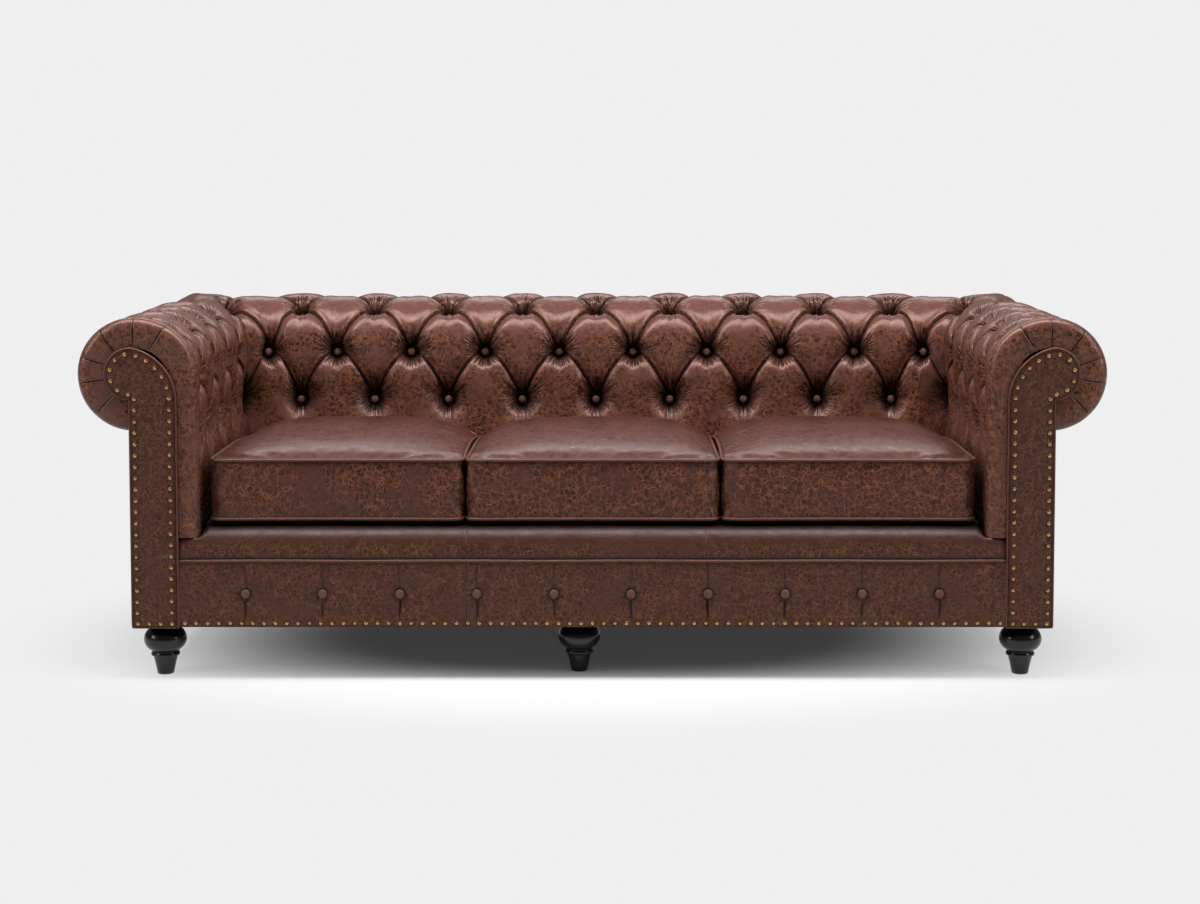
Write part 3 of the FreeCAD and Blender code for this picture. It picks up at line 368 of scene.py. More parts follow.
@dataclass(frozen=True)
class SawnWood:
    """Birch sawn and left raw inside the frame: straight grain and a dry matt face."""

    name: str = "sawn_birch"
    pale: str = "#C9A877"
    ring: str = "#96703F"
    pore: str = "#6E4C28"
    grain_mm: float = 9.0

    def build(self) -> bpy.types.Material:
        """Make the wood: bands of grain along the sofa and fine pores.

        Returns:
            The material.
        """
        material, tree, place = new_material(self.name)
        long = add_node(tree, "Mapping", {"Vector": place, "Scale": (0.08, 1.0, 1.0)})
        waves = {"Vector": long, "Scale": WAVE / (self.grain_mm * MM), "Distortion": 6.0, "Detail": 3.0}
        bands = add_node(tree, "TexWave", waves, "Fac", bands_direction="DIAGONAL")
        pores = add_node(tree, "TexNoise", {"Vector": long, "Scale": 1 / (2.5 * MM), "Detail": 3.0})
        share = add_node(tree, "MapRange", (bands, 0.2, 0.9, 0.0, 0.7))
        base = add_node(tree, "Mix", {FACTOR: share, BELOW: colour(self.pale), ABOVE: colour(self.ring)}, MIXED, **RGBA)
        share = add_node(tree, "MapRange", (pores, 0.55, 0.75, 0.0, 0.5))
        base = add_node(tree, "Mix", {FACTOR: share, BELOW: base, ABOVE: colour(self.pore)}, MIXED, **RGBA)
        relief = add_node(tree, "Bump", {"Strength": 0.3, "Distance": 0.3 * MM, "Height": pores})
        rough = add_node(tree, "MapRange", (pores, 0.3, 0.7, 0.65, 0.8))
        shader = add_node(tree, "BsdfPrincipled", {"Base Color": base, "Roughness": rough, "Normal": relief})
        add_node(tree, "OutputMaterial", {"Surface": shader})
        return material


@dataclass(frozen=True)
class Woven:
    """Plain woven cloth or webbing: crossing threads give a fine chequer and a dull face."""

    name: str
    thread: str
    gap: str
    thread_mm: float
    slub: str = "#120F0E"
    roughness: float = 0.9

    def build(self) -> bpy.types.Material:
        """Make the weave: two crossed sets of threads with slubs.

        Returns:
            The material.
        """
        material, tree, place = new_material(self.name)
        waves = {"Vector": place, "Scale": WAVE / (self.thread_mm * MM), "Distortion": 0.4, "Detail": 1.0}
        warp = add_node(tree, "TexWave", waves, "Fac", bands_direction="X")
        weft = add_node(tree, "TexWave", waves, "Fac", bands_direction="Y")
        weave = add_node(tree, "Math", (warp, weft), operation="MULTIPLY")
        slub = add_node(tree, "TexNoise", {"Vector": place, "Scale": 1 / (14 * MM), "Detail": 4.0})
        share = add_node(tree, "MapRange", (weave, 0.05, 0.6, 0.0, 1.0))
        tones = {FACTOR: share, BELOW: colour(self.gap), ABOVE: colour(self.thread)}
        base = add_node(tree, "Mix", tones, MIXED, **RGBA)
        share = add_node(tree, "MapRange", (slub, 0.5, 0.75, 0.0, 0.4))
        base = add_node(tree, "Mix", {FACTOR: share, BELOW: base, ABOVE: colour(self.slub)}, MIXED, **RGBA)
        relief = add_node(tree, "Bump", {"Strength": 0.5, "Distance": 0.4 * MM, "Height": weave})
        rough = add_node(tree, "MapRange", (slub, 0.3, 0.7, self.roughness - 0.08, self.roughness))
        cloth = {"Base Color": base, "Roughness": rough, "Normal": relief, "Sheen Weight": 0.2}
        shader = add_node(tree, "BsdfPrincipled", cloth)
        add_node(tree, "OutputMaterial", {"Surface": shader})
        return material


@dataclass(frozen=True)
class Foam:
    """Cut polyurethane foam: cream, matt and pitted with open cells."""

    name: str = "open_cell_foam"
    cream: str = "#D9CFA6"
    cell: str = "#A99C6C"
    cell_mm: float = 2.5

    def build(self) -> bpy.types.Material:
        """Make the foam, with small pits all over.

        Returns:
            The material.
        """
        material, tree, place = new_material(self.name)
        pits = add_node(tree, "TexVoronoi", {"Vector": place, "Scale": 1 / (self.cell_mm * MM)}, "Distance")
        share = add_node(tree, "MapRange", (pits, 0.2, 0.7, 0.0, 1.0))
        tones = {FACTOR: share, BELOW: colour(self.cell), ABOVE: colour(self.cream)}
        base = add_node(tree, "Mix", tones, MIXED, **RGBA)
        relief = add_node(tree, "Bump", {"Strength": 0.5, "Distance": 0.6 * MM, "Height": pits})
        rough = add_node(tree, "MapRange", (pits, 0.0, 1.0, 0.85, 0.95))
        shader = add_node(tree, "BsdfPrincipled", {"Base Color": base, "Roughness": rough, "Normal": relief})
        add_node(tree, "OutputMaterial", {"Surface": shader})
        return material


@dataclass(frozen=True)
class ZincSteel:
    """Rolled steel rod with bright zinc plate: pale grey with faint cloudy spangle."""

    name: str = "zinc_plated_steel"
    bright: str = "#B9BBBD"
    cloud: str = "#8C8F92"

    def build(self) -> bpy.types.Material:
        """Make the plating.

        Returns:
            The material.
        """
        material, tree, place = new_material(self.name)
        cloud = add_node(tree, "TexNoise", {"Vector": place, "Scale": 1 / (5 * MM), "Detail": 3.0})
        share = add_node(tree, "MapRange", (cloud, 0.35, 0.7, 0.0, 1.0))
        tones = {FACTOR: share, BELOW: colour(self.bright), ABOVE: colour(self.cloud)}
        base = add_node(tree, "Mix", tones, MIXED, **RGBA)
        rough = add_node(tree, "MapRange", (cloud, 0.3, 0.7, 0.3, 0.45))
        shader = add_node(tree, "BsdfPrincipled", {"Base Color": base, "Roughness": rough, "Metallic": 1.0})
        add_node(tree, "OutputMaterial", {"Surface": shader})
        return material


@dataclass
class Finishes:
    """The sofa's finishes, each made once."""

    made: dict[str, bpy.types.Material] = field(default_factory=dict)

    def make(self) -> None:
        """Build every finish under the name of the record's material slot."""
        finishes = {
            "tufted_leather": Leather(
                "tufted_pull_up_cowhide", ground="#5F3E37", wax="#745146", crackle=0.9, vein_mm=13.0, roughness=0.25,
                worn=0.42, gathers=1.0,
            ),
            "plain_leather": Leather("nailed_pull_up_cowhide", crackle=0.6, vein_mm=11.0, worn=0.4),
            "cushion_leather": Leather(
                "cushion_pull_up_cowhide", ground="#492B26", wax="#4A2F28", rubbed="#7C4B36", shade="#180B07",
                crackle=0.95, vein_mm=13.0, roughness=0.3, worn=0.4,
            ),
            "piping_leather": Leather("piped_pull_up_cowhide", ground="#563629", crackle=0.1, vein_mm=9.0, worn=0.7),
            # A lighter copy of the leather for the buttons: a painted highlight
            "button_leather": Leather(
                "buttoned_pull_up_cowhide", ground="#724D40", crackle=0.2, vein_mm=8.0, worn=0.65,
            ),
            "nail_brass": AgedBrass(),
            "black_lacquer": BlackLacquer(),
            "frame_wood": SawnWood(),
            "bolt_steel": ZincSteel(),
            "webbing": Woven("jute_webbing", "#8E7650", "#57452B", 2.4, "#6B2E22"),
            "deck_cloth": Woven("black_deck_cloth", "#2A2522", "#120F0E", 1.6),
            "dust_cloth": Woven("black_dust_cloth", "#181716", "#080808", 1.8),
            "foam": Foam(),
        }
        for slot, finish in finishes.items():
            self.made[slot] = finish.build()

    def dress(self, nodes: dict[str, bpy.types.Object], record: dict) -> None:
        """Give every carried-over CAD node its slot's finish.

        Args:
            nodes: The frame's objects by node name.
            record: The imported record.
        """
        for part in record["subparts"]:
            obj = nodes[part["node"]]
            obj.data.materials.clear()
            obj.data.materials.append(self.made[part["material_slot"]])


# Mesh building, in millimetres


def add_object(name: str, data: Any) -> bpy.types.Object:
    """Put new data into the scene as an object.

    Args:
        name: The object's name.
        data: Its mesh, light or camera.

    Returns:
        The new object.
    """
    obj = bpy.data.objects.new(name, data)
    bpy.context.scene.collection.objects.link(obj)
    return obj


class Shell:
    """A mesh gathered from grids, tubes and lathed forms, in millimetres."""

    def __init__(self) -> None:
        """Start with no points."""
        self.points: list[np.ndarray] = []
        self.creases: list[np.ndarray] = []
        self.gathers: Optional[np.ndarray] = None
        self.faces: list[tuple[int, ...]] = []
        self.count = 0

    def add(self, points: Any, faces: Sequence[Sequence[int]], crease: Any = None) -> None:
        """Add points and faces.

        Args:
            points: Points as rows of three numbers.
            faces: Faces by the numbers of these points.
            crease: How deep in a fold each point lies, from zero to one.
        """
        points = np.asarray(points, float).reshape(-1, 3)
        start = self.count
        self.points.append(points)
        self.creases.append(np.zeros(len(points)) if crease is None else np.asarray(crease, float).ravel())
        self.faces.extend(tuple(start + i for i in face) for face in faces)
        self.count += len(points)

    def grid(self, points: np.ndarray, crease: Any = None, wrap: bool = False, caps: bool = False) -> None:
        """Add a grid of quads.

        Args:
            points: Rows by columns by three numbers.
            crease: How deep in a fold each point lies.
            wrap: Join each row's last point to its first.
            caps: Close the first and last rows with a face each.
        """
        rows, columns = points.shape[:2]
        faces = []
        last = columns if wrap else columns - 1
        for i in range(rows - 1):
            for j in range(last):
                k = (j + 1) % columns
                faces.append((i * columns + j, i * columns + k, (i + 1) * columns + k, (i + 1) * columns + j))
        if caps:
            faces.append(tuple(range(columns - 1, -1, -1)))
            faces.append(tuple((rows - 1) * columns + j for j in range(columns)))
        self.add(points, faces, crease)

    def slab(self, outer: np.ndarray, inner: np.ndarray, crease: np.ndarray) -> None:
        """Add a grid of quads, walls from its edge to another grid's edge, and one face that closes those.

        Args:
            outer: The grid that shows.
            inner: The grid behind, of which only the edge is used.
            crease: How deep in a fold each point of the outer grid lies.
        """
        self.grid(outer, crease)
        rims = [
            np.concatenate([face[:, 0], face[-1][1:], face[:, -1][::-1][1:], face[0][::-1][1:-1]])
            for face in (outer, inner)
        ]
        self.grid(np.array(rims), wrap=True)
        self.add(rims[1], [tuple(range(len(rims[1])))])

    def tube(self, path: np.ndarray, radius: float, sides: int, closed: bool = False) -> None:
        """Sweep a round tube along a path.

        Args:
            path: Points of the path, as rows of three numbers.
            radius: The tube's radius.
            sides: Points round the tube.
            closed: Join the path's end to its start.
        """
        path = np.asarray(path, float)
        if closed:
            tangent = np.roll(path, -1, 0) - np.roll(path, 1, 0)
        else:
            tangent = np.gradient(path, axis=0)
        tangent /= np.linalg.norm(tangent, axis=1)[:, None]
        normal = np.cross(tangent[0], (0.3, 0.2, 1.0))
        rings = []
        for spot, along in zip(path, tangent):
            normal = normal - along * np.dot(normal, along)
            normal /= np.linalg.norm(normal)
            across = np.cross(along, normal)
            turn = np.linspace(0, 2 * math.pi, sides, endpoint=False)
            rings.append(spot + radius * (np.outer(np.cos(turn), normal) + np.outer(np.sin(turn), across)))
        if closed:
            rings.append(rings[0])
            twist = rings[-2] - path[-1]
            base = rings[0] - path[0]
            match = max(range(sides), key=lambda n: float((np.roll(base, -n, 0) * twist).sum()))
            rings[-1] = np.roll(base, -match, 0) + path[0]
        self.grid(np.array(rings), wrap=True, caps=not closed)

    def lathe(self, centre: Point, outward: Any, profile: Sequence[tuple[float, float]], sides: int,
              crease: Optional[Sequence[float]] = None) -> None:
        """Turn a profile round an axis.

        Args:
            centre: Where the profile starts.
            outward: Direction of the axis.
            profile: Pairs of reach from the axis and height along it.
            sides: Points round the axis.
            crease: How deep in a fold each ring lies.
        """
        axis = np.array(Vector(outward).normalized())
        helper = (1.0, 0.0, 0.0) if abs(axis[0]) < 0.9 else (0.0, 1.0, 0.0)
        first = np.cross(axis, helper)
        first /= np.linalg.norm(first)
        second = np.cross(axis, first)
        turn = np.linspace(0, 2 * math.pi, sides, endpoint=False)
        circle = np.outer(np.cos(turn), first) + np.outer(np.sin(turn), second)
        rings = [np.array(centre) + circle * reach + axis * height for reach, height in profile]
        depth = None if crease is None else np.repeat(np.asarray(crease, float), sides)
        self.grid(np.array(rings), depth, wrap=True, caps=True)

    def place(self, name: str, finishes: Finishes, slot: str, *nodes: str, body: str = "root") -> bpy.types.Object:
        """Make the object in metres and tie it to the frame.

        Args:
            name: The piece's name.
            finishes: The sofa's finishes.
            slot: The record's material slot, which names the finish.
            nodes: CAD nodes that it stands for.
            body: The CAD body that it rides on.

        Returns:
            The new object.
        """
        mesh = bpy.data.meshes.new(name)
        mesh.from_pydata((np.vstack(self.points) * MM).tolist(), [], self.faces)
        mesh.update()
        # Depth in a fold, from which the leather paints shade into its creases, pits and edges, and the brass its
        # tarnished rims
        crease = mesh.attributes.new("crease", "FLOAT", "POINT")
        crease.data.foreach_set("value", np.concatenate(self.creases).astype(np.float32))
        if self.gathers is not None:
            gather = mesh.attributes.new("gather", "FLOAT_VECTOR", "POINT")
            gather.data.foreach_set("vector", self.gathers.astype(np.float32).ravel())
        mesh.polygons.foreach_set("use_smooth", [True] * len(mesh.polygons))
        mesh.materials.append(finishes.made[slot])
        obj = add_object(name, mesh)
        straighten(mesh)
        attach(obj, body)
        if nodes:
            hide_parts(*nodes)
        LOG.info("%s: %d points", name, len(mesh.vertices))
        return obj


def straighten(mesh: bpy.types.Mesh) -> None:
    """Turn all faces of a mesh outward.

    Args:
        mesh: The mesh to mend.
    """
    work = bmesh.new()
    work.from_mesh(mesh)
    bmesh.ops.recalc_face_normals(work, faces=work.faces)
    work.to_mesh(mesh)
    work.free()


def bell(distance: np.ndarray, reach: Any, power: float = 2) -> np.ndarray:
    """A soft bump: one at no distance, and fading out past the reach."""
    return np.exp(-((distance / reach) ** power))


def box_mm(node: str) -> list[np.ndarray]:
    """The low and high corners of a CAD node's box in millimetres."""
    return [np.array(corner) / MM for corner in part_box(node)]


def edge_gap(x: np.ndarray, y: np.ndarray, low: np.ndarray, high: np.ndarray) -> np.ndarray:
    """Distance of points inside a rectangle to its nearest edge."""
    return np.minimum(np.minimum(x - low[0], high[0] - x), np.minimum(y - low[1], high[1] - y))


def ripple(points: np.ndarray, size: float, seed: float) -> np.ndarray:
    """Smooth noise at points.

    Args:
        points: Points in millimetres, in any shape that ends in three.
        size: Size of the noise's waves in millimetres.
        seed: Offset that makes one piece differ from the next.

    Returns:
        Noise from minus one to one, in the shape of the points.
    """
    flat = points.reshape(-1, 3) / size + seed
    values = [noise.noise(Vector(p)) for p in flat]
    return np.array(values).reshape(points.shape[:-1])


@dataclass
class SofaForm:
    """Sizes of the arms' and back's shared outline, in millimetres.

    The axis is the middle of an arm's or the back's roll. Above the upright slab the outline turns round it.
    """

    axis_x: float = 978.0
    axis_y: float = 343.0
    axis_z: float = 656.0
    roll_radius: float = 122.0
    slab_offset: float = 134.0
    core_radius: float = 50.3
    pad_bottom: float = 297.0
    underside: float = 114.0
    lip_bottom: float = 260.0
    border_top: float = 254.0
    face_y: float = -462.0
    band_y: float = -450.0
    border_y: float = -456.0
    pad_front_y: float = -415.0
    slab_x: float = 844.0
    slab_y: float = 209.0

    def crest(self, along: np.ndarray, offset: np.ndarray) -> tuple[np.ndarray, np.ndarray]:
        """Points of the arm or back outline, from the roll's axis.

        Args:
            along: Distance along the outline, zero level with the roll's axis.
            offset: Height above the outline.

        Returns:
            Reach out from the axis and height above it.
        """
        along = np.asarray(along, float)
        offset = np.asarray(offset, float)
        angle = math.pi - np.maximum(along, 0.0) / self.roll_radius
        lean = np.maximum(0.0, -np.cos(angle)) ** 2
        reach = self.roll_radius + (self.slab_offset - self.roll_radius) * lean + offset
        w = np.where(along <= 0, -(self.slab_offset + offset), reach * np.cos(angle))
        z = np.where(along <= 0, along, reach * np.sin(angle))
        return w, z


@dataclass
class Tufting:
    """Deep-buttoned surface: rows of buttons in pits, folded pleats and broad pillows between them.

    The low and high rows are on the upright slab, the front and top rows on the roll. Even columns have low and
    front buttons, odd columns high and top ones. Sizes are in millimetres and turns in degrees round the roll.
    """

    form: SofaForm
    pit_depth: float = 42.0
    pit_floor: float = 9.0
    pit_reaches: tuple[float, float, float, float] = (27.0, 17.0, 13.0, 27.0)
    groove: float = 8.0
    groove_reach: float = 2.6
    hollow: float = 7.0
    hollow_reach: float = 14.0
    lip: float = 2.2
    lip_away: float = 6.0
    lip_reach: float = 2.6
    crease_reach: float = 1.7
    ease: float = 16.0
    flute: float = 6.5
    flute_reach: float = 1.6
    flute_length: float = 60.0
    slack: float = 0.35
    low_side_pit: float = 0.62
    pucker: float = 3.0
    gather_reaches: tuple[float, float] = (40.0, 70.0)
    dark_from: float = 18.0
    rise_limit: float = 6.0
    row_low: float = 525.0
    row_high: float = 641.0
    row_front_turn: float = 47.0
    row_top_turn: float = 106.0
    end_turn: float = 270.0
    bow: float = 2.0
    top_bow: float = 1.25
    pinch: float = 0.012
    column_steps: int = 26
    open_steps: int = 32
    cell_steps: int = 34
    roll_steps: int = 34

    def __post_init__(self) -> None:
        """Work out the rows' distances along the outline."""
        turn = math.radians(1.0) * self.form.roll_radius
        self.low = self.row_low - self.form.axis_z
        self.high = self.row_high - self.form.axis_z
        self.front = turn * self.row_front_turn
        self.top = turn * self.row_top_turn
        self.end = turn * self.end_turn
        self.bottom = self.form.pad_bottom - self.form.axis_z

    def shares(self) -> np.ndarray:
        """Places of the sections from one column to the next, close together at both."""
        turn = np.linspace(0, math.pi, self.column_steps)
        return self.pinch + (1 - 2 * self.pinch) * (1 - np.cos(turn)) / 2

    def pleats(self, t: np.ndarray, half_pitch: float) -> list[tuple[np.ndarray, np.ndarray]]:
        """The low, front and top pleats, each bowed like the edge of a shield.

        Args:
            t: Share of the way from an even column to an odd one.
            half_pitch: Distance between two columns.

        Returns:
            Distance along the outline and slope of each pleat.
        """
        rows = []
        for start, stop, power, rising in (
            (self.low, self.high, self.bow, True),
            (self.high, self.front, self.bow, False),
            (self.front, self.top, self.top_bow, True),
        ):
            rest = 1 - t if rising else t
            place = start + (stop - start) * (1 - rest**power)
            rows.append((place, (stop - start) * power * rest ** (power - 1) / half_pitch))
        return rows

    def spots(self, t: np.ndarray, half_pitch: float) -> np.ndarray:
        """Distances along the outline where each section has points.

        Args:
            t: Share of the way from an even column to an odd one, one row per section.
            half_pitch: Distance between two columns.

        Returns:
            The distances, closest together at the pleats.
        """
        low, front, top = [place for place, _ in self.pleats(t, half_pitch)]
        rise = np.linspace(0, 1, self.open_steps + 1)[None, :]
        alongs = [self.bottom + (low - self.bottom) * (1 - (1 - rise) ** 2)]
        part = np.linspace(0, 1, self.cell_steps + 1)[None, 1:]
        even = 0.4 * part + 0.6 * (1 - np.cos(math.pi * part)) / 2
        alongs += [low + (front - low) * even, front + (top - front) * even]
        run = np.linspace(0, 1, self.roll_steps + 1)[None, 1:] ** 1.6
        alongs.append(top + (self.end - top) * run)
        return np.concatenate(alongs, 1)

    def relief(self, along: np.ndarray, t: np.ndarray, number: np.ndarray,
               half_pitch: float) -> tuple[np.ndarray, np.ndarray, np.ndarray]:
        """Height of the leather over the outline.

        Args:
            along: Distances along the outline, one row per section.
            t: Share of the way from an even column to an odd one.
            number: Each section's even and odd column and the side on which it lies.
            half_pitch: Distance between two columns.

        Returns:
            Height, depth in a fold from zero to one, and the way from the nearest button in metres, across and along,
            with how strongly the leather gathers there.
        """
        sunk = np.zeros_like(along)
        crease = np.zeros_like(along)
        nearest = np.full_like(along, np.inf)
        gather = np.zeros((*along.shape, 3))
        # Pleats: a sharp groove in a soft hollow, with the folded leather's lip raised along one side
        for place, slope in self.pleats(t, half_pitch):
            beside = (along - place) / np.sqrt(1 + slope**2)
            away = np.abs(beside)
            sunk = np.maximum(sunk, self.fold(away))
            sunk -= self.lip * bell(beside - self.lip_away, self.lip_reach)
            # Painted shade along each pleat's line
            crease = np.maximum(crease, np.exp(-away / self.crease_reach))
        low, _, top = [place for place, _ in self.pleats(t, half_pitch)]
        # Two short flutes below each low button, and one pleat on over the roll above each top button
        across = t * half_pitch
        under = np.clip((low - along) / self.ease, 0, 1)
        fade = np.exp(-np.clip(low - along, 0, None) / self.flute_length)
        flutes = np.exp(-np.abs(across - self.flute) / self.flute_reach) + np.exp(-across / self.flute_reach)
        hollow = self.hollow * bell(across, self.hollow_reach)
        sunk = np.maximum(sunk, under * (self.groove * fade * flutes + hollow))
        # Painted shade along the flutes
        crease = np.maximum(crease, under * fade * flutes)
        across = (1 - t) * half_pitch
        over = np.clip((along - top) / self.ease, 0, 1)
        sunk = np.maximum(sunk, over * self.fold(across))
        # Painted shade along the pleat over the roll
        crease = np.maximum(crease, over * np.exp(-across / self.crease_reach))
        # Pits round the buttons, no two quite alike, and the larger folds that fan out of them
        for row, (place, reach) in enumerate(zip((self.low, self.high, self.front, self.top), self.pit_reaches)):
            across = (1 - t if row % 2 else t) * half_pitch
            chance = self.chance(number[:, row % 2, None], row)
            rise = along - place
            away = np.hypot(across, rise)
            steep = np.where((row == 2) & (rise < 0), self.low_side_pit, 1.0)
            beyond = np.clip(away - self.pit_floor, 0, None)
            pit = bell(beyond, reach * steep * (0.92 + 0.16 * chance), 1.3)
            sunk = sunk + (self.pit_depth - sunk * self.slack) * pit
            # Painted shade at the bottom of each pit
            crease = np.maximum(crease, 0.9 * bell(away, self.pit_floor + 4, 4))
            across = across * number[:, 2, None] * (-1 if row % 2 else 1)
            turn = np.arctan2(rise, across)
            phase = chance * 2 * math.pi
            rays = 0.5 * np.sin(6 * turn + phase) + 0.5 * np.sin(9 * turn + 2.3 * phase)
            fade = np.clip((away - 8) / 8, 0, 1) * bell(away, reach * 2.1)
            sunk = sunk - self.pucker * rays * fade * (0.55 + 0.45 * np.abs(np.sin(turn)))
            # The small folds in the finish fade out before the next button's begin
            near = np.clip((1 - away / np.interp(rise, (-30, 30), self.gather_reaches)) / 0.4, 0, 1)
            upright = 0.3 + 0.7 * np.clip((np.abs(rise) / np.maximum(away, 1e-6) - 0.2) / 0.6, 0, 1)
            weight = near * near * (3 - 2 * near) * upright * np.clip((away - 8) / 5, 0, 1)
            way = np.stack(np.broadcast_arrays(across * MM, rise * MM, weight), -1)
            gather = np.where((away < nearest)[..., None], way, gather)
            nearest = np.minimum(nearest, away)
        # Painted shade deep in the pits, darker the deeper they sink
        deep = np.clip((sunk - self.dark_from) / (self.pit_depth - self.dark_from), 0, 1)
        crease = np.maximum(crease, 0.95 * deep * (2 - deep))
        return -np.clip(sunk, -self.rise_limit, self.pit_depth + 0.5), crease, gather

    def fold(self, away: np.ndarray) -> np.ndarray:
        """Depth of a pleat at a distance from its line: a sharp groove in a soft hollow."""
        return self.groove * np.exp(-away / self.groove_reach) + self.hollow * bell(away, self.hollow_reach)

    def chance(self, column: np.ndarray, row: int) -> np.ndarray:
        """A number from zero to one for each button, scattered like chance but the same each run."""
        return np.modf(np.abs(np.sin(column * 12.9898 + row * 78.233)) * 43758.5)[0]


@dataclass
class TuftedPads:
    """The tufted pads of the back and the arms, with their covered buttons."""

    form: SofaForm
    tufting: Tufting
    finishes: Finishes
    back_pitches: int = 4
    arm_pitches: int = 4
    corner_gap: float = 0.69
    corner_draw: float = 24.0
    button_radius: float = 9.4
    button_seat: float = 5.0
    corner_share: float = 0.8
    corner_forward: float = 8.0
    draw_from: float = 54.0
    swell_top: float = 5.0

    def __post_init__(self) -> None:
        """Work out the pitches of the buttons."""
        form = self.form
        self.back_pitch = form.slab_x / (self.back_pitches + self.corner_gap)
        self.back_edge = self.back_pitch * self.back_pitches
        self.arm_half = (form.slab_y - form.pad_front_y) / (2 * self.arm_pitches)
        self.arm_edge = form.pad_front_y + self.arm_half * 2 * (self.arm_pitches - 1)

    def cornered(self, w: np.ndarray, part: np.ndarray) -> np.ndarray:
        """Reach of the roll's outside, drawn in towards the sofa's corner."""
        beyond = np.maximum(0.0, (w - self.draw_from) / (self.form.roll_radius - self.draw_from))
        return w - self.corner_draw * part**2 * beyond**2

    def back_point(self, column: np.ndarray, w: np.ndarray, z: np.ndarray) -> np.ndarray:
        """Points of the back.

        Args:
            column: Columns of the points, fractions between buttons.
            w: Reach from the roll's axis.
            z: Height above it.

        Returns:
            The points in millimetres.
        """
        along = np.abs(column) / 2
        part = np.maximum(0.0, along - self.back_pitches)
        w = self.cornered(w, part)
        edge = self.back_edge + part * (self.form.axis_x + w - self.back_edge)
        x = np.where(part > 0, edge, self.back_pitch * along + 0 * w)
        return np.stack([np.sign(column) * x, self.form.axis_y + w, self.form.axis_z + z + 0 * x], -1)

    def arm_point(self, side: Side, column: np.ndarray, w: np.ndarray, z: np.ndarray) -> np.ndarray:
        """Points of an arm.

        Args:
            side: Which arm.
            column: Columns of the points, counted from the front.
            w: Reach from the roll's axis.
            z: Height above it.

        Returns:
            The points in millimetres.
        """
        part = np.maximum(0.0, column / 2 - self.arm_pitches + 1)
        w = self.cornered(w, part)
        edge = self.arm_edge + part * (self.form.axis_y + w - self.arm_edge)
        y = np.where(part > 0, edge, self.form.pad_front_y + self.arm_half * column + 0 * w)
        return np.stack([side.value * (self.form.axis_x + w), y, self.form.axis_z + z + 0 * y], -1)

    def surface(self, first: int, last: int, half_pitch: float, point_at: PointAt, seed: float) -> Shell:
        """One pad's closed skin.

        Args:
            first: First column.
            last: Last column.
            half_pitch: Distance between two columns.
            point_at: Gives points from columns, reach and height.
            seed: Makes the pad's small waves its own.

        Returns:
            The skin's shell.
        """
        shares, columns, numbers = [], [], []
        for column in range(first, last):
            for step in self.tufting.shares():
                odd_first = column % 2
                shares.append(1 - step if odd_first else step)
                columns.append(column + step)
                numbers.append((column + odd_first, column + 1 - odd_first, -1 if odd_first else 1))
        t = np.array(shares)[:, None]
        column = np.array(columns)[:, None]
        along = self.tufting.spots(t, half_pitch)
        height, crease, gather = self.tufting.relief(along, t, np.array(numbers, float), half_pitch)
        w, z = self.form.crest(along, height)
        spots = point_at(column + 0 * w, w, z)
        # Stuffing is never quite even: long waves under the leather and short ones over them
        sway = ripple(spots, 52.0, seed) * 2.2 + ripple(spots, 19.0, seed + 9) * 0.8
        w, z = self.form.crest(along, np.minimum(height + sway, self.swell_top))
        outer = point_at(column + 0 * w, w, z)
        # The inside runs round the roll's timber core and down the slab's frame
        core = self.form.core_radius
        angles = np.radians([-90, -45, 0, 45, 90, 135, 180])
        hollow_w = np.append(core * np.cos(angles), -core)[None, :] + 0 * column
        hollow_z = np.append(core * np.sin(angles), self.tufting.bottom)[None, :] + 0 * column
        inner = point_at(column + 0 * hollow_w, hollow_w, hollow_z)
        shell = Shell()
        points = np.concatenate([outer, inner], 1)
        # The hidden inside is painted in full shade
        shell.grid(points, np.concatenate([crease, np.ones(inner.shape[:2])], 1), wrap=True, caps=True)
        shell.gathers = np.concatenate([gather, np.zeros(inner.shape)], 1).reshape(-1, 3)
        return shell

    def buttons(self, columns: Sequence[int], last: int, point_at: PointAt) -> Shell:
        """Covered buttons of a pad.

        Args:
            columns: The buttons' columns.
            last: The corner's column.
            point_at: Gives points from columns, reach and height.

        Returns:
            The buttons' shell.
        """
        shell = Shell()
        tufting = self.tufting
        for column in columns:
            rows = (tufting.low, tufting.front) if column % 2 == 0 else (tufting.high, tufting.top)
            for place in rows:
                # Beside a corner the high button sits higher, and the roll's front buttons are drawn deeper
                lift = self.button_seat if last - abs(column) == 1 and place == tufting.high else 0.0
                lift -= self.button_seat if place == tufting.front else 0.0
                spots = []
                for height in (self.button_seat + lift - tufting.pit_depth, tufting.pit_depth):
                    w, z = self.form.crest(np.array([place]), np.array([height]))
                    spots.append(point_at(np.array([float(column)]), w, z)[0])
                self.button(shell, spots[0], spots[1] - spots[0], self.button_radius)
        return shell

    def button(self, shell: Shell, centre: np.ndarray, outward: np.ndarray, r: float) -> None:
        """Add one covered button with a domed front and a rolled edge.

        Args:
            shell: The shell to add to.
            centre: Middle of its back.
            outward: Direction that it faces.
            r: Its radius.
        """
        dome = ((0.5, 0.0), (0.9, 0.8), (1.0, 2.6), (0.96, 4.4), (0.8, 6.0), (0.5, 7.1), (0.2, 7.6))
        profile = [(r * share, height) for share, height in dome]
        # Painted shade round the button's base, where it sinks into its pit
        shell.lathe(tuple(centre), outward, profile, 20, [1, 0.9, 0.4, 0, 0, 0, 0])

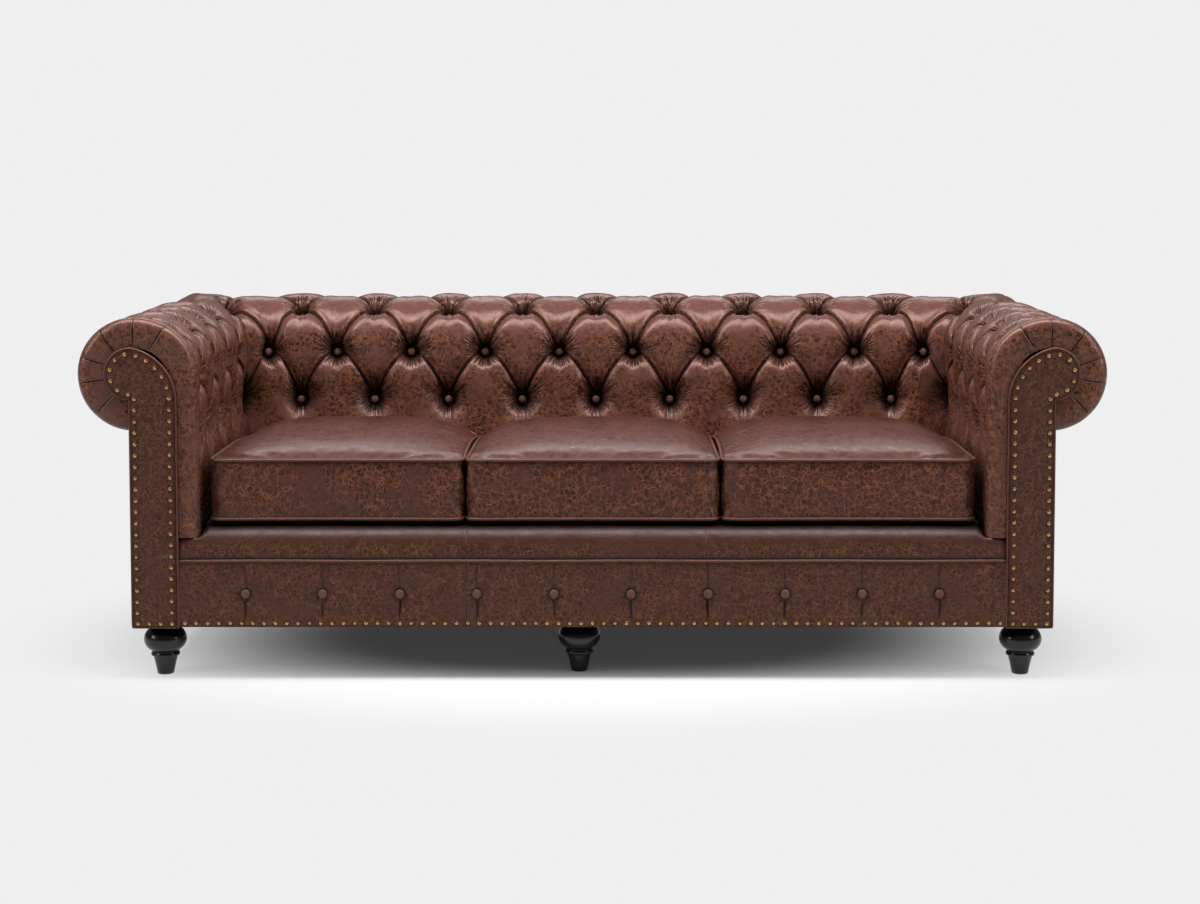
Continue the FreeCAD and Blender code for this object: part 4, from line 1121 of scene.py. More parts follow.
    def build(self) -> None:
        """Make the pads and the buttons."""
        last_back = 2 * (self.back_pitches + 1)
        last_arm = 2 * self.arm_pitches
        shell = self.surface(-last_back, last_back, self.back_pitch / 2, self.back_point, 3.0)
        shell.place("tufted_back", self.finishes, "tufted_leather", "back_pad")
        shell = self.buttons(range(1 - last_back, last_back), last_back, self.back_point)
        w, z = self.form.crest(np.array([self.tufting.low]), np.array([-self.tufting.pit_depth]))
        for side in Side:
            outward = np.array([-side.value, -1.0, 0.0]) / math.sqrt(2)
            centre = self.back_point(np.array([float(side.value * last_back)]), w, z)[0]
            centre = centre + outward * self.corner_forward
            self.button(shell, centre, outward, self.button_radius * self.corner_share)
        shell.place("covered_back_buttons", self.finishes, "button_leather", "back_buttons")
        for side in Side:
            point_at = functools.partial(self.arm_point, side)
            shell = self.surface(0, last_arm, self.arm_half, point_at, 20.0 + side.value)
            arm = shell.place(f"tufted_arm_{side.word}", self.finishes, "tufted_leather", f"arm_pad_{side.word}")
            shell = self.buttons(range(1, last_arm), last_arm, point_at)
            node = f"arm_buttons_{side.word}"
            shell.place(f"covered_arm_buttons_{side.word}", self.finishes, "button_leather", node)


def outline_gap(spots: np.ndarray, outline: np.ndarray) -> np.ndarray:
    """Distance of each spot to a closed outline.

    Args:
        spots: Places, two numbers each.
        outline: The outline's points, two numbers each.

    Returns:
        The distances.
    """
    best = np.full(len(spots), np.inf)
    for start, stop in zip(outline, np.roll(outline, -1, 0)):
        step = stop - start
        part = np.clip(((spots - start) @ step) / (step**2).sum(), 0, 1)
        best = np.minimum(best, np.hypot(*(spots - start - part[:, None] * step).T))
    return best


def leather_panel(outline: np.ndarray, spacing: float, dome: float, reach: float,
                  seed: float) -> tuple[np.ndarray, list, np.ndarray]:
    """Fill an outline with triangles whose height rises softly from the edge.

    Args:
        outline: The closed outline's points, two numbers each.
        spacing: Distance between the points inside.
        dome: Height of the middle over the edge.
        reach: Distance from the edge over which it rises.
        seed: Makes the panel's small waves its own.

    Returns:
        Points with their heights, faces, and depth in a fold.
    """
    low, high = outline.min(0), outline.max(0)
    ends = np.roll(outline, -1, 0)
    # Rows of points across the outline, every other row shifted
    inside = []
    rows = int((high[1] - low[1]) / spacing)
    for i in range(1, rows + 1):
        level = low[1] + i * spacing + 0.013
        crossings = []
        for start, stop in zip(outline, ends):
            if (start[1] > level) != (stop[1] > level):
                crossings.append(start[0] + (level - start[1]) / (stop[1] - start[1]) * (stop[0] - start[0]))
        crossings.sort()
        for begin, finish in zip(crossings[::2], crossings[1::2]):
            count = max(1, int((finish - begin) / spacing))
            offset = 0.5 if i % 2 else 0.0
            for j in range(count):
                inside.append((begin + (j + 0.5 + offset * 0.5) * (finish - begin) / (count + 0.25), level))
    inside = np.array(inside).reshape(-1, 2)
    inside = inside[outline_gap(inside, outline) > spacing * 0.45]
    spots = [Vector(p) for p in np.vstack([outline, inside])]
    ring = [(i, (i + 1) % len(outline)) for i in range(len(outline))]
    found, _, faces, *_ = delaunay_2d_cdt(spots, ring, [], 1, 1e-5)
    flat = np.array([tuple(p) for p in found])
    distance = outline_gap(flat, outline)
    height = dome * (1 - np.exp(-distance / reach))
    lifted = np.column_stack([flat, np.zeros(len(flat))])
    # Small waves, which fade out towards the held edge
    fade = np.clip(distance / 12.0, 0, 1)
    height += (ripple(lifted, 60.0, seed) * 0.8 + ripple(lifted, 21.0, seed + 5) * 0.4) * fade
    # Painted shade along the held edge
    crease = np.clip(1 - distance / 5.0, 0, 1) * 0.8
    return np.column_stack([flat, height]), [tuple(f) for f in faces], crease


@dataclass
class ArmFronts:
    """Padded arm fronts, with the nailed facing and the welt round it."""

    form: SofaForm
    tufting: Tufting
    finishes: Finishes
    facing_in: float = 88.0
    facing_out: float = 4.0
    facing_proud: float = 1.2
    facing_deep: float = 10.6
    facing_dome: float = 1.6
    scroll_radius: float = 52.0
    scroll_rise: float = 3.0
    shoulder_drop: float = 56.0
    welt_radius: float = 3.2
    nail_radius: float = 5.6
    nail_pitch: float = 24.0
    nail_edge: float = 9.0
    tongue_top: float = 306.3
    band_round: float = 24.0
    band_width: float = 64.0
    band_inset: float = 0.5
    core_share: float = 0.9
    radial_pleats: tuple[float, ...] = (57.0, 90.0, 128.0, 161.0, 189.0, 226.0)

    def outline(self, grow: float, step: float = 5.0) -> np.ndarray:
        """The facing's outline for the right arm, grown by a margin.

        Args:
            grow: Margin outward.
            step: Distance between its points.

        Returns:
            Points as X and Z, counted from the inner bottom corner upward.
        """
        form = self.form
        inner = form.axis_x - self.facing_in - grow
        bottom = form.underside - min(grow, 0.0)
        outer = form.axis_x + self.facing_out
        scroll = self.scroll_radius + grow
        centre = np.array([outer, form.axis_z + self.scroll_rise])
        shoulder = form.axis_z - self.shoulder_drop
        rise = centre[1] + scroll - shoulder
        run = centre[0] - inner
        bend = (run**2 + rise**2) / (2 * run)
        sweep = math.asin(min(1.0, rise / bend))
        if rise > run and rise > bend:
            sweep = math.pi - sweep
        arc = np.linspace(0, sweep, 24)
        points = [np.array([inner, z]) for z in np.arange(bottom, shoulder, step)]
        points += [np.array([inner + bend * (1 - math.cos(a)), shoulder + bend * math.sin(a)]) for a in arc]
        drop = math.asin(grow / scroll)
        for a in np.linspace(math.pi / 2, -math.pi / 2 + drop, 40)[1:]:
            points.append(centre + scroll * np.array([math.cos(a), math.sin(a)]))
        corner = points[-1]
        for z in np.arange(corner[1] - step, bottom, -step):
            points.append(np.array([outer + grow, z]))
        points.append(np.array([outer + grow, bottom]))
        for x in np.arange(outer + grow - step, inner + step / 2, -step):
            points.append(np.array([x, bottom]))
        return np.array(points)

    def facing(self, side: Side) -> None:
        """Make the facing panel.

        Args:
            side: Which arm.
        """
        shape = self.outline(0.0)
        points, faces, crease = leather_panel(shape, 7.0, self.facing_dome, 6.0, 40.0 + side.value)
        face_y = self.form.face_y + self.facing_proud
        shell = Shell()
        shell.add(np.column_stack([side.value * points[:, 0], face_y - points[:, 2], points[:, 1]]), faces, crease)
        rim = np.column_stack([side.value * shape[:, 0], np.full(len(shape), face_y), shape[:, 1]])
        shell.grid(np.array([rim, rim + np.array([0.0, self.facing_deep, 0.0])]), wrap=True)
        shell.place(f"facing_panel_{side.word}", self.finishes, "plain_leather", f"facing_{side.word}")

    def welt(self, side: Side) -> None:
        """Make the piped welt round the facing.

        Args:
            side: Which arm.
        """
        path = self.outline(self.welt_radius * 0.7, 6.0)
        spots = np.column_stack([side.value * path[:, 0], np.full(len(path), self.form.band_y - 6.0), path[:, 1]])
        shell = Shell()
        shell.tube(spots, self.welt_radius, 8, closed=True)
        shell.place(f"facing_piping_{side.word}", self.finishes, "piping_leather", f"facing_welt_{side.word}")

    def nails(self, side: Side) -> None:
        """Drive the nails along the facing's edge.

        Args:
            side: Which arm.
        """
        path = self.outline(-self.nail_edge, 2.0)
        steps = np.linalg.norm(np.roll(path, -1, 0) - path, axis=1)
        total = steps.sum()
        count = int(total // self.nail_pitch)
        reached = np.concatenate([[0], np.cumsum(steps)])
        ring = np.vstack([path, path[:1]])
        shell = Shell()
        for i in range(count):
            distance = total * i / count
            x = float(np.interp(distance, reached, ring[:, 0]))
            z = float(np.interp(distance, reached, ring[:, 1]))
            add_nail(shell, (side.value * x, self.form.face_y - 0.2, z), self.nail_radius)
        shell.place(f"facing_nail_heads_{side.word}", self.finishes, "nail_brass", f"facing_nails_{side.word}")

    def section(self, share: float) -> tuple[float, float]:
        """The padded front's cross-section: a flat front, a round edge and a run back to the pad.

        Args:
            share: Way over it from the facing to the pad, from zero to one.

        Returns:
            Reach inward from the roll's outline, and Y.
        """
        form, bend = self.form, self.band_round
        if share < 0.5:
            lean = self.band_width - (self.band_width - bend) * (share / 0.5)
            return lean, form.band_y + 1.5 - 3.5 * math.sin(math.pi * share)
        turn = (share - 0.5) * 2 * 90.0
        if turn <= 60:
            part = math.radians(turn * 1.5)
            return bend - bend * math.sin(part), form.band_y - 2.0 + (bend - 4.0) * (1 - math.cos(part))
        return 0.0, form.band_y - 6.0 + bend + (turn - 60) / 30 * (form.pad_front_y - form.band_y + 6.0 - bend)

    def band(self, side: Side) -> None:
        """Make the padded front that swells out round the facing.

        Args:
            side: Which arm.
        """
        form = self.form
        low = self.tongue_top - form.axis_z
        # Places along the outline, closer together at each radial pleat
        upright = np.linspace(low, -10.0, 26)
        turned = np.linspace(0.0, self.tufting.end, 110)
        close = np.array([-5.0, -3.5, -2.0, -1.0, 0.0, 1.0, 2.0, 3.5, 5.0])
        pleats = [math.radians(pleat) * form.roll_radius + close for pleat in self.radial_pleats]
        along = np.concatenate([upright, np.unique(np.concatenate([turned, *pleats]))])
        w, z = form.crest(along, np.zeros_like(along))
        angle = np.degrees(np.arctan2(z, w))
        grid, folds = [], []
        for share in np.concatenate([np.linspace(0, 1, 9)[:-1] * 0.5, 0.5 + 0.5 * np.linspace(0, 1, 12)]):
            lean, y = self.section(share)
            sink = np.zeros_like(along)
            for crease_angle in self.radial_pleats:
                turned_to = (angle - (180.0 - crease_angle) + 180) % 360 - 180
                across = np.radians(turned_to) * form.roll_radius
                sink += np.exp(-np.abs(across) / 1.3) * 4.0 + bell(across, 10.0) * 1.2
            # The pleats are on the roll only, and fade out at the facing and at the pad
            sink = np.where(along > 0, sink, 0.0) * math.sin(math.pi * min(1.0, share * 1.25)) ** 0.5
            w, z = form.crest(along, -(lean + self.band_inset) - sink * (1.0 if share > 0.5 else 0.2))
            depth = sink * (1.0 if share < 0.62 else 0.2)
            grid.append(np.column_stack([side.value * (form.axis_x + w), y + depth, form.axis_z + z]))
            # Painted shade in the radial pleats
            folds.append(np.clip(sink / 3.4, 0, 1) ** 1.5 * 0.95)
        points = np.array(grid)
        points[..., 1] += ripple(points, 40.0, 60.0 + side.value) * 0.8
        shell = Shell()
        shell.grid(points, np.array(folds))
        rear = points[-1]
        inner = rear.copy()
        w, z = form.crest(along, -(form.slab_offset - form.core_radius) * np.ones_like(along) * self.core_share)
        inner[:, 0] = side.value * (form.axis_x + w)
        inner[:, 2] = form.axis_z + z
        # The strip back to the core is painted in full shade
        shell.grid(np.array([rear, inner]), np.ones((2, len(along))))
        name = f"gathered_arm_front_{side.word}"
        band = shell.place(name, self.finishes, "tufted_leather", f"arm_front_{side.word}")

    def build(self) -> None:
        """Make both arm fronts."""
        for side in Side:
            self.facing(side)
            self.welt(side)
            self.nails(side)
            self.band(side)


def add_nail(shell: Shell, centre: Point, radius: float) -> None:
    """Add one domed nail head that points to the front.

    Args:
        shell: The shell to add to.
        centre: Middle of its back.
        radius: Its radius.
    """
    profile = [(radius, 0.0), (radius * 0.98, 0.7), (radius * 0.84, 1.9), (radius * 0.55, 2.9), (radius * 0.2, 3.3)]
    shell.lathe(centre, (0, -1, 0), profile, 12, [1.0, 1.0, 0.75, 0.2, 0.0])


@dataclass
class FrontBorder:
    """Buttoned border under the lip, its nails and welt, and the padded lip."""

    form: SofaForm
    finishes: Finishes
    half_width: float = 885.0
    button_pitch: float = 165.0
    button_z: float = 186.0
    nail_z: float = 123.0
    nail_pitch: float = 24.0
    nail_radius: float = 5.6
    welt_z: float = 257.0
    welt_radius: float = 3.4
    pleat_depth: float = 4.0
    button_pull: float = 3.6
    button_reach: float = 14.0
    seam_depth: float = 1.6
    lip_half: float = 843.7
    lip_back: float = -402.0
    lip_top: float = 327.0
    tongue_top: float = 305.5
    seams: tuple[float, ...] = (-271.0, 245.0)

    def columns(self) -> list[float]:
        """Places of the border's buttons along the sofa."""
        return [self.button_pitch * (i + 0.5) for i in range(-5, 5)]

    def border(self) -> None:
        """Make the border with pleats above and below each button."""
        form = self.form
        # Columns of points stand close together at the buttons' pleats and at the seams
        xs = [-self.half_width, self.half_width]
        for x in self.columns():
            xs += list(x + np.array([-40, -30, -22, -15, -10, -6, -3.5, -1.5, 0, 1.5, 3.5, 6, 10, 15, 22, 30, 40]))
        for x in self.seams:
            xs += [x - 3, x - 1.2, x, x + 1.2, x + 3]
        xs = np.unique(np.round(xs, 2))
        filler = [np.linspace(a, b, int((b - a) / 12) + 2)[1:-1] for a, b in zip(xs, xs[1:]) if b - a > 14]
        xs = np.sort(np.concatenate([xs] + filler))
        fine = self.button_z + np.arange(-20, 20.1, 2.5)
        zs = np.unique(np.concatenate([np.linspace(form.underside, form.border_top, 26), fine]))
        x, z = np.meshgrid(xs, zs, indexing="ij")
        spots = np.stack([x, 0 * x, z], -1)
        edge = np.minimum(z - form.underside, form.border_top - z)
        out = 1.4 * (1 - np.exp(-edge / 10)) + ripple(spots, 75.0, 71.0) * 0.9 + ripple(spots, 26.0, 75.0) * 0.5
        # Painted shade along the top and bottom edges
        crease = np.clip(1 - edge / 4, 0, 1) * 0.5
        for i, column in enumerate(self.columns()):
            across = x - column
            up = z - self.button_z
            away = np.hypot(across, up)
            # Each pleat wanders a little, and ends above the nails
            wander = 1.5 * np.sin(up * 0.06 + i)
            pleat = bell(across - wander, 2.6) * np.clip((np.abs(up) - 6) / 10, 0, 1)
            fade = np.where(up < 0, np.clip((z - self.nail_z - 8) / 12, 0, 1), 0.5)
            out -= self.pleat_depth * pleat * fade
            # Painted shade in each pleat
            crease = np.maximum(crease, pleat * fade)
            out -= self.button_pull * bell(away, self.button_reach)
            rays = np.sin(8 * np.arctan2(up, across) + i * 1.7) * bell(away, 24.0)
            out += rays * np.clip(away / 9, 0, 1) * 1.1
            # Painted shade in the dimple round each button
            crease = np.maximum(crease, bell(away, self.button_reach, 4) * 0.95)
        for seam in self.seams:
            line = bell(x - seam, 1.4)
            out -= self.seam_depth * line
            crease = np.maximum(crease, line * 0.6)
        front = np.stack([x, form.border_y + 0.8 - out, z], -1)
        shell = Shell()
        shell.grid(front, crease)
        for edge in (front[:, -1], front[:, 0]):
            shell.grid(np.array([edge, edge + np.array([0, 9.0, 0])]))
        shell.place("buttoned_border", self.finishes, "plain_leather", "front_border")

    def trim(self) -> None:
        """Make the border's buttons, nails and welt."""
        form = self.form
        shell = Shell()
        profile = [(5.0, 0.0), (9.2, 0.8), (10.2, 2.4), (9.8, 4.4), (7.8, 5.8), (4.8, 6.7), (1.8, 7.0)]
        # Painted shade round the buttons' edges and, lighter, over their domes, so that they are darker than the
        # leather
        border_button_shade = [1.0, 1.0, 0.9, 0.6, 0.35, 0.25, 0.25]
        for column in self.columns():
            shell.lathe((column, form.border_y + 2.0, self.button_z), (0, -1, 0), profile, 18, border_button_shade)
        shell.place("covered_border_buttons", self.finishes, "button_leather", "border_buttons")
        shell = Shell()
        count = int(2 * self.half_width // self.nail_pitch)
        spacing = 2 * self.half_width / count
        for i in range(count):
            x = spacing * (i + 0.5) - self.half_width
            add_nail(shell, (x, form.border_y + 0.4, self.nail_z), self.nail_radius)
        shell.place("border_nail_heads", self.finishes, "nail_brass", "border_nails")
        shell = Shell()
        xs = np.linspace(-self.half_width, self.half_width, 90)
        path = np.column_stack([xs, np.full(90, form.border_y + 0.6), self.welt_z + 0.4 * np.sin(xs / 63)])
        shell.tube(path, self.welt_radius, 10)
        shell.place("border_piping", self.finishes, "piping_leather", "border_welt")

    def lip(self) -> None:
        """Make the padded lip under the cushions, whose ends run on to the facings below the arm fronts."""
        form = self.form
        xs = np.linspace(-self.half_width, self.half_width, 200)
        marks = [np.array([s - 3, s - 1.2, s, s + 1.2, s + 3]) for s in self.seams]
        xs = np.unique(np.concatenate([xs, *marks, [-self.lip_half, self.lip_half]]))
        # From the welt up over a rounded front, then back flat under the cushions
        turn = np.linspace(0, math.pi / 2, 16)
        height = self.lip_top - form.lip_bottom
        ys = form.border_y + 46.0 * (1 - np.cos(turn)) ** 1.2
        zs = form.lip_bottom + 2.5 + (height - 2.5) * np.sin(turn)
        profile = np.array([
            (form.border_y + 9.0, form.lip_bottom), (form.border_y + 1.5, form.lip_bottom + 0.6), *zip(ys, zs),
            (self.lip_back, self.lip_top - 0.2), (self.lip_back, form.lip_bottom + 36.0),
        ])
        points = np.zeros((len(xs), len(profile), 3))
        points[..., 0] = xs[:, None]
        points[..., 1:] = profile[None]
        wave = ripple(points, 90.0, 81.0) * 1.5 + ripple(points, 30.0, 83.0) * 0.6
        shown = (points[..., 1] < form.pad_front_y) & (points[..., 2] > form.lip_bottom + 4)
        points[..., 1] -= np.where(shown, wave, 0.0)
        # Painted shade towards the top, under the cushions, and along the bottom at the welt
        crease = np.clip((points[..., 2] - self.lip_top + 40.0) / 34.0, 0, 0.96)
        crease[:, :3] = 0.9
        for seam in self.seams:
            line = bell(points[..., 0] - seam, 1.5)
            points[..., 1] += line * 1.8
            crease = np.maximum(crease, line * 0.6)
        # Beside the cushions only the lower part runs on, as a tongue under the padded arm fronts
        tongue = np.abs(xs) > self.lip_half + 0.01
        dive = np.clip((np.abs(xs) - self.lip_half + 16.0) / 16.0, 0, 1)
        ceiling = self.lip_top + (self.tongue_top - self.lip_top) * dive**2 * (3 - 2 * dive)
        points[..., 2] = np.minimum(points[..., 2], ceiling[:, None])
        points[..., 1] = np.where(tongue[:, None], np.minimum(points[..., 1], form.border_y + 9.0), points[..., 1])
        shell = Shell()
        shell.grid(points, crease, wrap=True, caps=True)
        shell.place("padded_lip", self.finishes, "plain_leather", "front_lip")

    def build(self) -> None:
        """Make the border, its trim and the lip."""
        self.border()
        self.trim()
        self.lip()


@dataclass
class SeatCushions:
    """Three loose box cushions: sewn panels over foam, swollen by a cloth simulation."""

    form: SofaForm
    finishes: Finishes
    half_width: float = 274.0
    front_y: float = -421.5
    rear_y: float = 198.5
    base_z: float = 336.0
    seam_z: float = 468.0
    crown: float = 33.0
    tail: float = 32.0
    corner: float = 26.0
    drawn: float = 5.0
    piping: float = 3.6
    swell_limit: float = 3.5
    across: int = 44
    deep: int = 48
    tall: int = 11
    pressure: float = 3.2
    frames: int = 18
    wadding: float = 19.0
    gap: float = 3.2
    piping_out: float = 1.8
    crown_falls: tuple[float, float, float] = (3.4, 3.2, 5.0)
    core_cells: tuple[int, int, int] = (16, 18, 4)

    def lattice(self, nx: int, ny: int, nz: int) -> tuple[np.ndarray, list, np.ndarray, dict]:
        """Points and faces of one cushion round its own middle.

        Args:
            nx: Cells along the sofa.
            ny: Cells from front to rear.
            nz: Cells from bottom to top.

        Returns:
            Points, quads, each point's hold from zero to one, and the numbers of the lattice's points.
        """
        numbers: dict[tuple[int, int, int], int] = {}

        def number(i: int, j: int, k: int) -> int:
            """The point's number, made when it is new."""
            return numbers.setdefault((i, j, k), len(numbers))

        faces = []
        for i in range(nx):
            for j in range(ny):
                faces.append((number(i, j, nz), number(i + 1, j, nz), number(i + 1, j + 1, nz), number(i, j + 1, nz)))
                faces.append((number(i, j, 0), number(i, j + 1, 0), number(i + 1, j + 1, 0), number(i + 1, j, 0)))
        for k in range(nz):
            for i in range(nx):
                faces.append((number(i, 0, k), number(i + 1, 0, k), number(i + 1, 0, k + 1), number(i, 0, k + 1)))
                faces.append((number(i, ny, k), number(i, ny, k + 1), number(i + 1, ny, k + 1), number(i + 1, ny, k)))
            for j in range(ny):
                faces.append((number(0, j, k), number(0, j, k + 1), number(0, j + 1, k + 1), number(0, j + 1, k)))
                faces.append((number(nx, j, k), number(nx, j + 1, k), number(nx, j + 1, k + 1), number(nx, j, k + 1)))
        cells = np.array(list(numbers), float)
        u, v = [0.5 * part + 0.5 * np.sin(math.pi / 2 * part) for part in (cells[:, :2] / (nx, ny) * 2 - 1).T]
        s = 0.4 * cells[:, 2] / nz + 0.3 * (1 - np.cos(math.pi * cells[:, 2] / nz))
        a = self.half_width - self.piping * 0.6
        b = (self.rear_y - self.front_y) / 2 - self.piping * 0.6
        x, y = u * a, v * b
        # Corners rounded in plan, and sides drawn in between them
        r = self.corner
        qx = np.maximum(np.abs(x) - (a - r), 0)
        qy = np.maximum(np.abs(y) - (b - r), 0)
        both = (qx > 0) & (qy > 0)
        scale = np.where(both, np.maximum(qx, qy) / np.maximum(np.hypot(qx, qy), 1e-9), 1.0)
        x = np.where(both, np.sign(x) * (a - r + qx * scale), x)
        y = np.where(both, np.sign(y) * (b - r + qy * scale), y)
        pull_x = 1 - self.drawn / a * np.cos(v * math.pi / 2) * np.abs(u) ** 4
        pull_y = 1 - self.drawn / b * np.cos(u * math.pi / 2) * np.abs(v) ** 4
        x, y = x * pull_x, y * pull_y
        # The top's crown, whose seam falls towards the rear corners
        beside, ahead, behind = self.crown_falls
        dome = (1 - np.abs(u) ** beside) * (1 - np.abs(v) ** np.where(v > 0, behind, ahead))
        tail = np.clip((v + 0.3) / 1.3, 0, 1) ** 2 * np.abs(u) ** 5 * self.tail
        seam = self.seam_z - self.base_z - tail
        z = np.where(cells[:, 2] == nz, seam + self.crown * dome**0.8, s * seam)
        z = np.where(cells[:, 2] == 0, 0.8 + 3.2 * (np.abs(u) ** 8 + np.abs(v) ** 8).clip(0, 1), z)
        sewn = (np.maximum(np.abs(u), np.abs(v)) > 0.9999) & ((cells[:, 2] == nz) | (cells[:, 2] == 0))
        held = sewn | (cells[:, 2] == 0)
        return np.column_stack([x, y, z]), faces, held.astype(float), numbers

    def swell(self, points: np.ndarray, faces: list, held: np.ndarray) -> np.ndarray:
        """Blow the sewn cover up like cloth over foam, and cap how far it moves.

        Args:
            points: The cover's points in millimetres.
            faces: Its faces.
            held: Points that the seams hold.

        Returns:
            The points after the simulation.
        """
        mesh = bpy.data.meshes.new("cover_trial")
        mesh.from_pydata((points * MM).tolist(), [], faces)
        obj = add_object("cover_trial", mesh)
        group = obj.vertex_groups.new(name="seams")
        group.add([int(i) for i in np.nonzero(held)[0]], 1.0, "REPLACE")
        modifier = obj.modifiers.new("cloth", "CLOTH")
        leather = {
            "quality": 5, "mass": 0.4, "tension_stiffness": 25, "compression_stiffness": 25, "shear_stiffness": 12,
            "bending_stiffness": 2.0, "use_pressure": True, "uniform_pressure_force": self.pressure,
            "vertex_group_mass": "seams", "shrink_min": -0.02,
        }
        for name, value in leather.items():
            setattr(modifier.settings, name, value)
        modifier.settings.effector_weights.gravity = 0.0
        modifier.collision_settings.use_collision = False
        scene = bpy.context.scene
        modifier.point_cache.frame_start = 1
        modifier.point_cache.frame_end = self.frames
        for frame in range(1, self.frames + 1):
            scene.frame_set(frame)
        result = obj.evaluated_get(bpy.context.evaluated_depsgraph_get())
        flat = np.zeros(len(points) * 3)
        result.data.vertices.foreach_get("co", flat)
        moved = flat.reshape(-1, 3) / MM - points
        scene.frame_set(1)
        bpy.data.objects.remove(obj)
        bpy.data.meshes.remove(mesh)
        length = np.linalg.norm(moved, axis=1)
        limit = np.minimum(1.0, self.swell_limit / np.maximum(length, 1e-9))
        return points + moved * limit[:, None]

    def ring(self, points: np.ndarray, numbers: dict, level: int) -> np.ndarray:
        """The seam's points round the cushion at the lattice's top or bottom.

        Args:
            points: All points.
            numbers: Numbers of the lattice's points.
            level: The lattice's level.

        Returns:
            The seam's points in order.
        """
        nx, ny = self.across, self.deep
        keys = [(i, 0, level) for i in range(nx)] + [(nx, j, level) for j in range(ny)]
        keys += [(i, ny, level) for i in range(nx, 0, -1)] + [(0, j, level) for j in range(ny, 0, -1)]
        return points[[numbers[k] for k in keys]]

    def build(self) -> None:
        """Make the three cushions and their piping."""
        points, faces, held, numbers = self.lattice(self.across, self.deep, self.tall)
        core, core_faces, *_ = self.lattice(*self.core_cells)
        # The foam core is the same form, smaller by the wadding
        inset = 1 - self.wadding / np.abs(core).max(0)
        core = core * inset + np.array([0, 0, self.wadding * 0.4])
        points = self.swell(points, faces, held)
        middle_y = (self.front_y + self.rear_y) / 2
        for seat in Seat:
            centre = np.array([(seat.value - 1) * (2 * self.half_width + self.gap), middle_y, self.base_z])
            own = points + centre
            free = 1 - held
            # Each cushion has its own sags between the seams
            own = own + np.column_stack([
                ripple(own, 130.0, 90.0 + seat.value) * 1.6 * free,
                ripple(own, 120.0, 94.0 + seat.value) * 1.6 * free,
                (ripple(own, 150.0, 97.0 + seat.value) * 2.4 + ripple(own, 48.0, 99.0 + seat.value) * 0.8) * free,
            ])
            shell = Shell()
            # Painted shade along the seams and over the whole underside
            shell.add(own, faces, held * 0.9)
            body = f"{seat.word}_cushion"
            name, node = f"seat_cushion_cover_{seat.word}", f"seat_cushion_{seat.word}"
            cover = shell.place(name, self.finishes, "cushion_leather", node, body=body)
            soft = cover.modifiers.new("smooth", "SUBSURF")
            soft.levels = 1
            soft.render_levels = 1
            shell = Shell()
            for level, lift in ((self.tall, 0.5), (0, 1.2)):
                path = self.ring(own, numbers, level)
                away = path - own.mean(0)
                away[:, 2] = 0
                away /= np.linalg.norm(away, axis=1)[:, None]
                path = path + away * self.piping_out + np.array([0, 0, lift])
                path[:, 2] = np.maximum(path[:, 2], self.base_z + self.piping + 0.2)
                shell.tube(path, self.piping, 10, closed=True)
            shell.place(f"cushion_piping_{seat.word}", self.finishes, "piping_leather", body=body)
            shell = Shell()
            shell.add(core + centre, core_faces)
            name, node = f"foam_core_{seat.word}", f"cushion_foam_{seat.word}"
            shell.place(name, self.finishes, "foam", node, body=body)


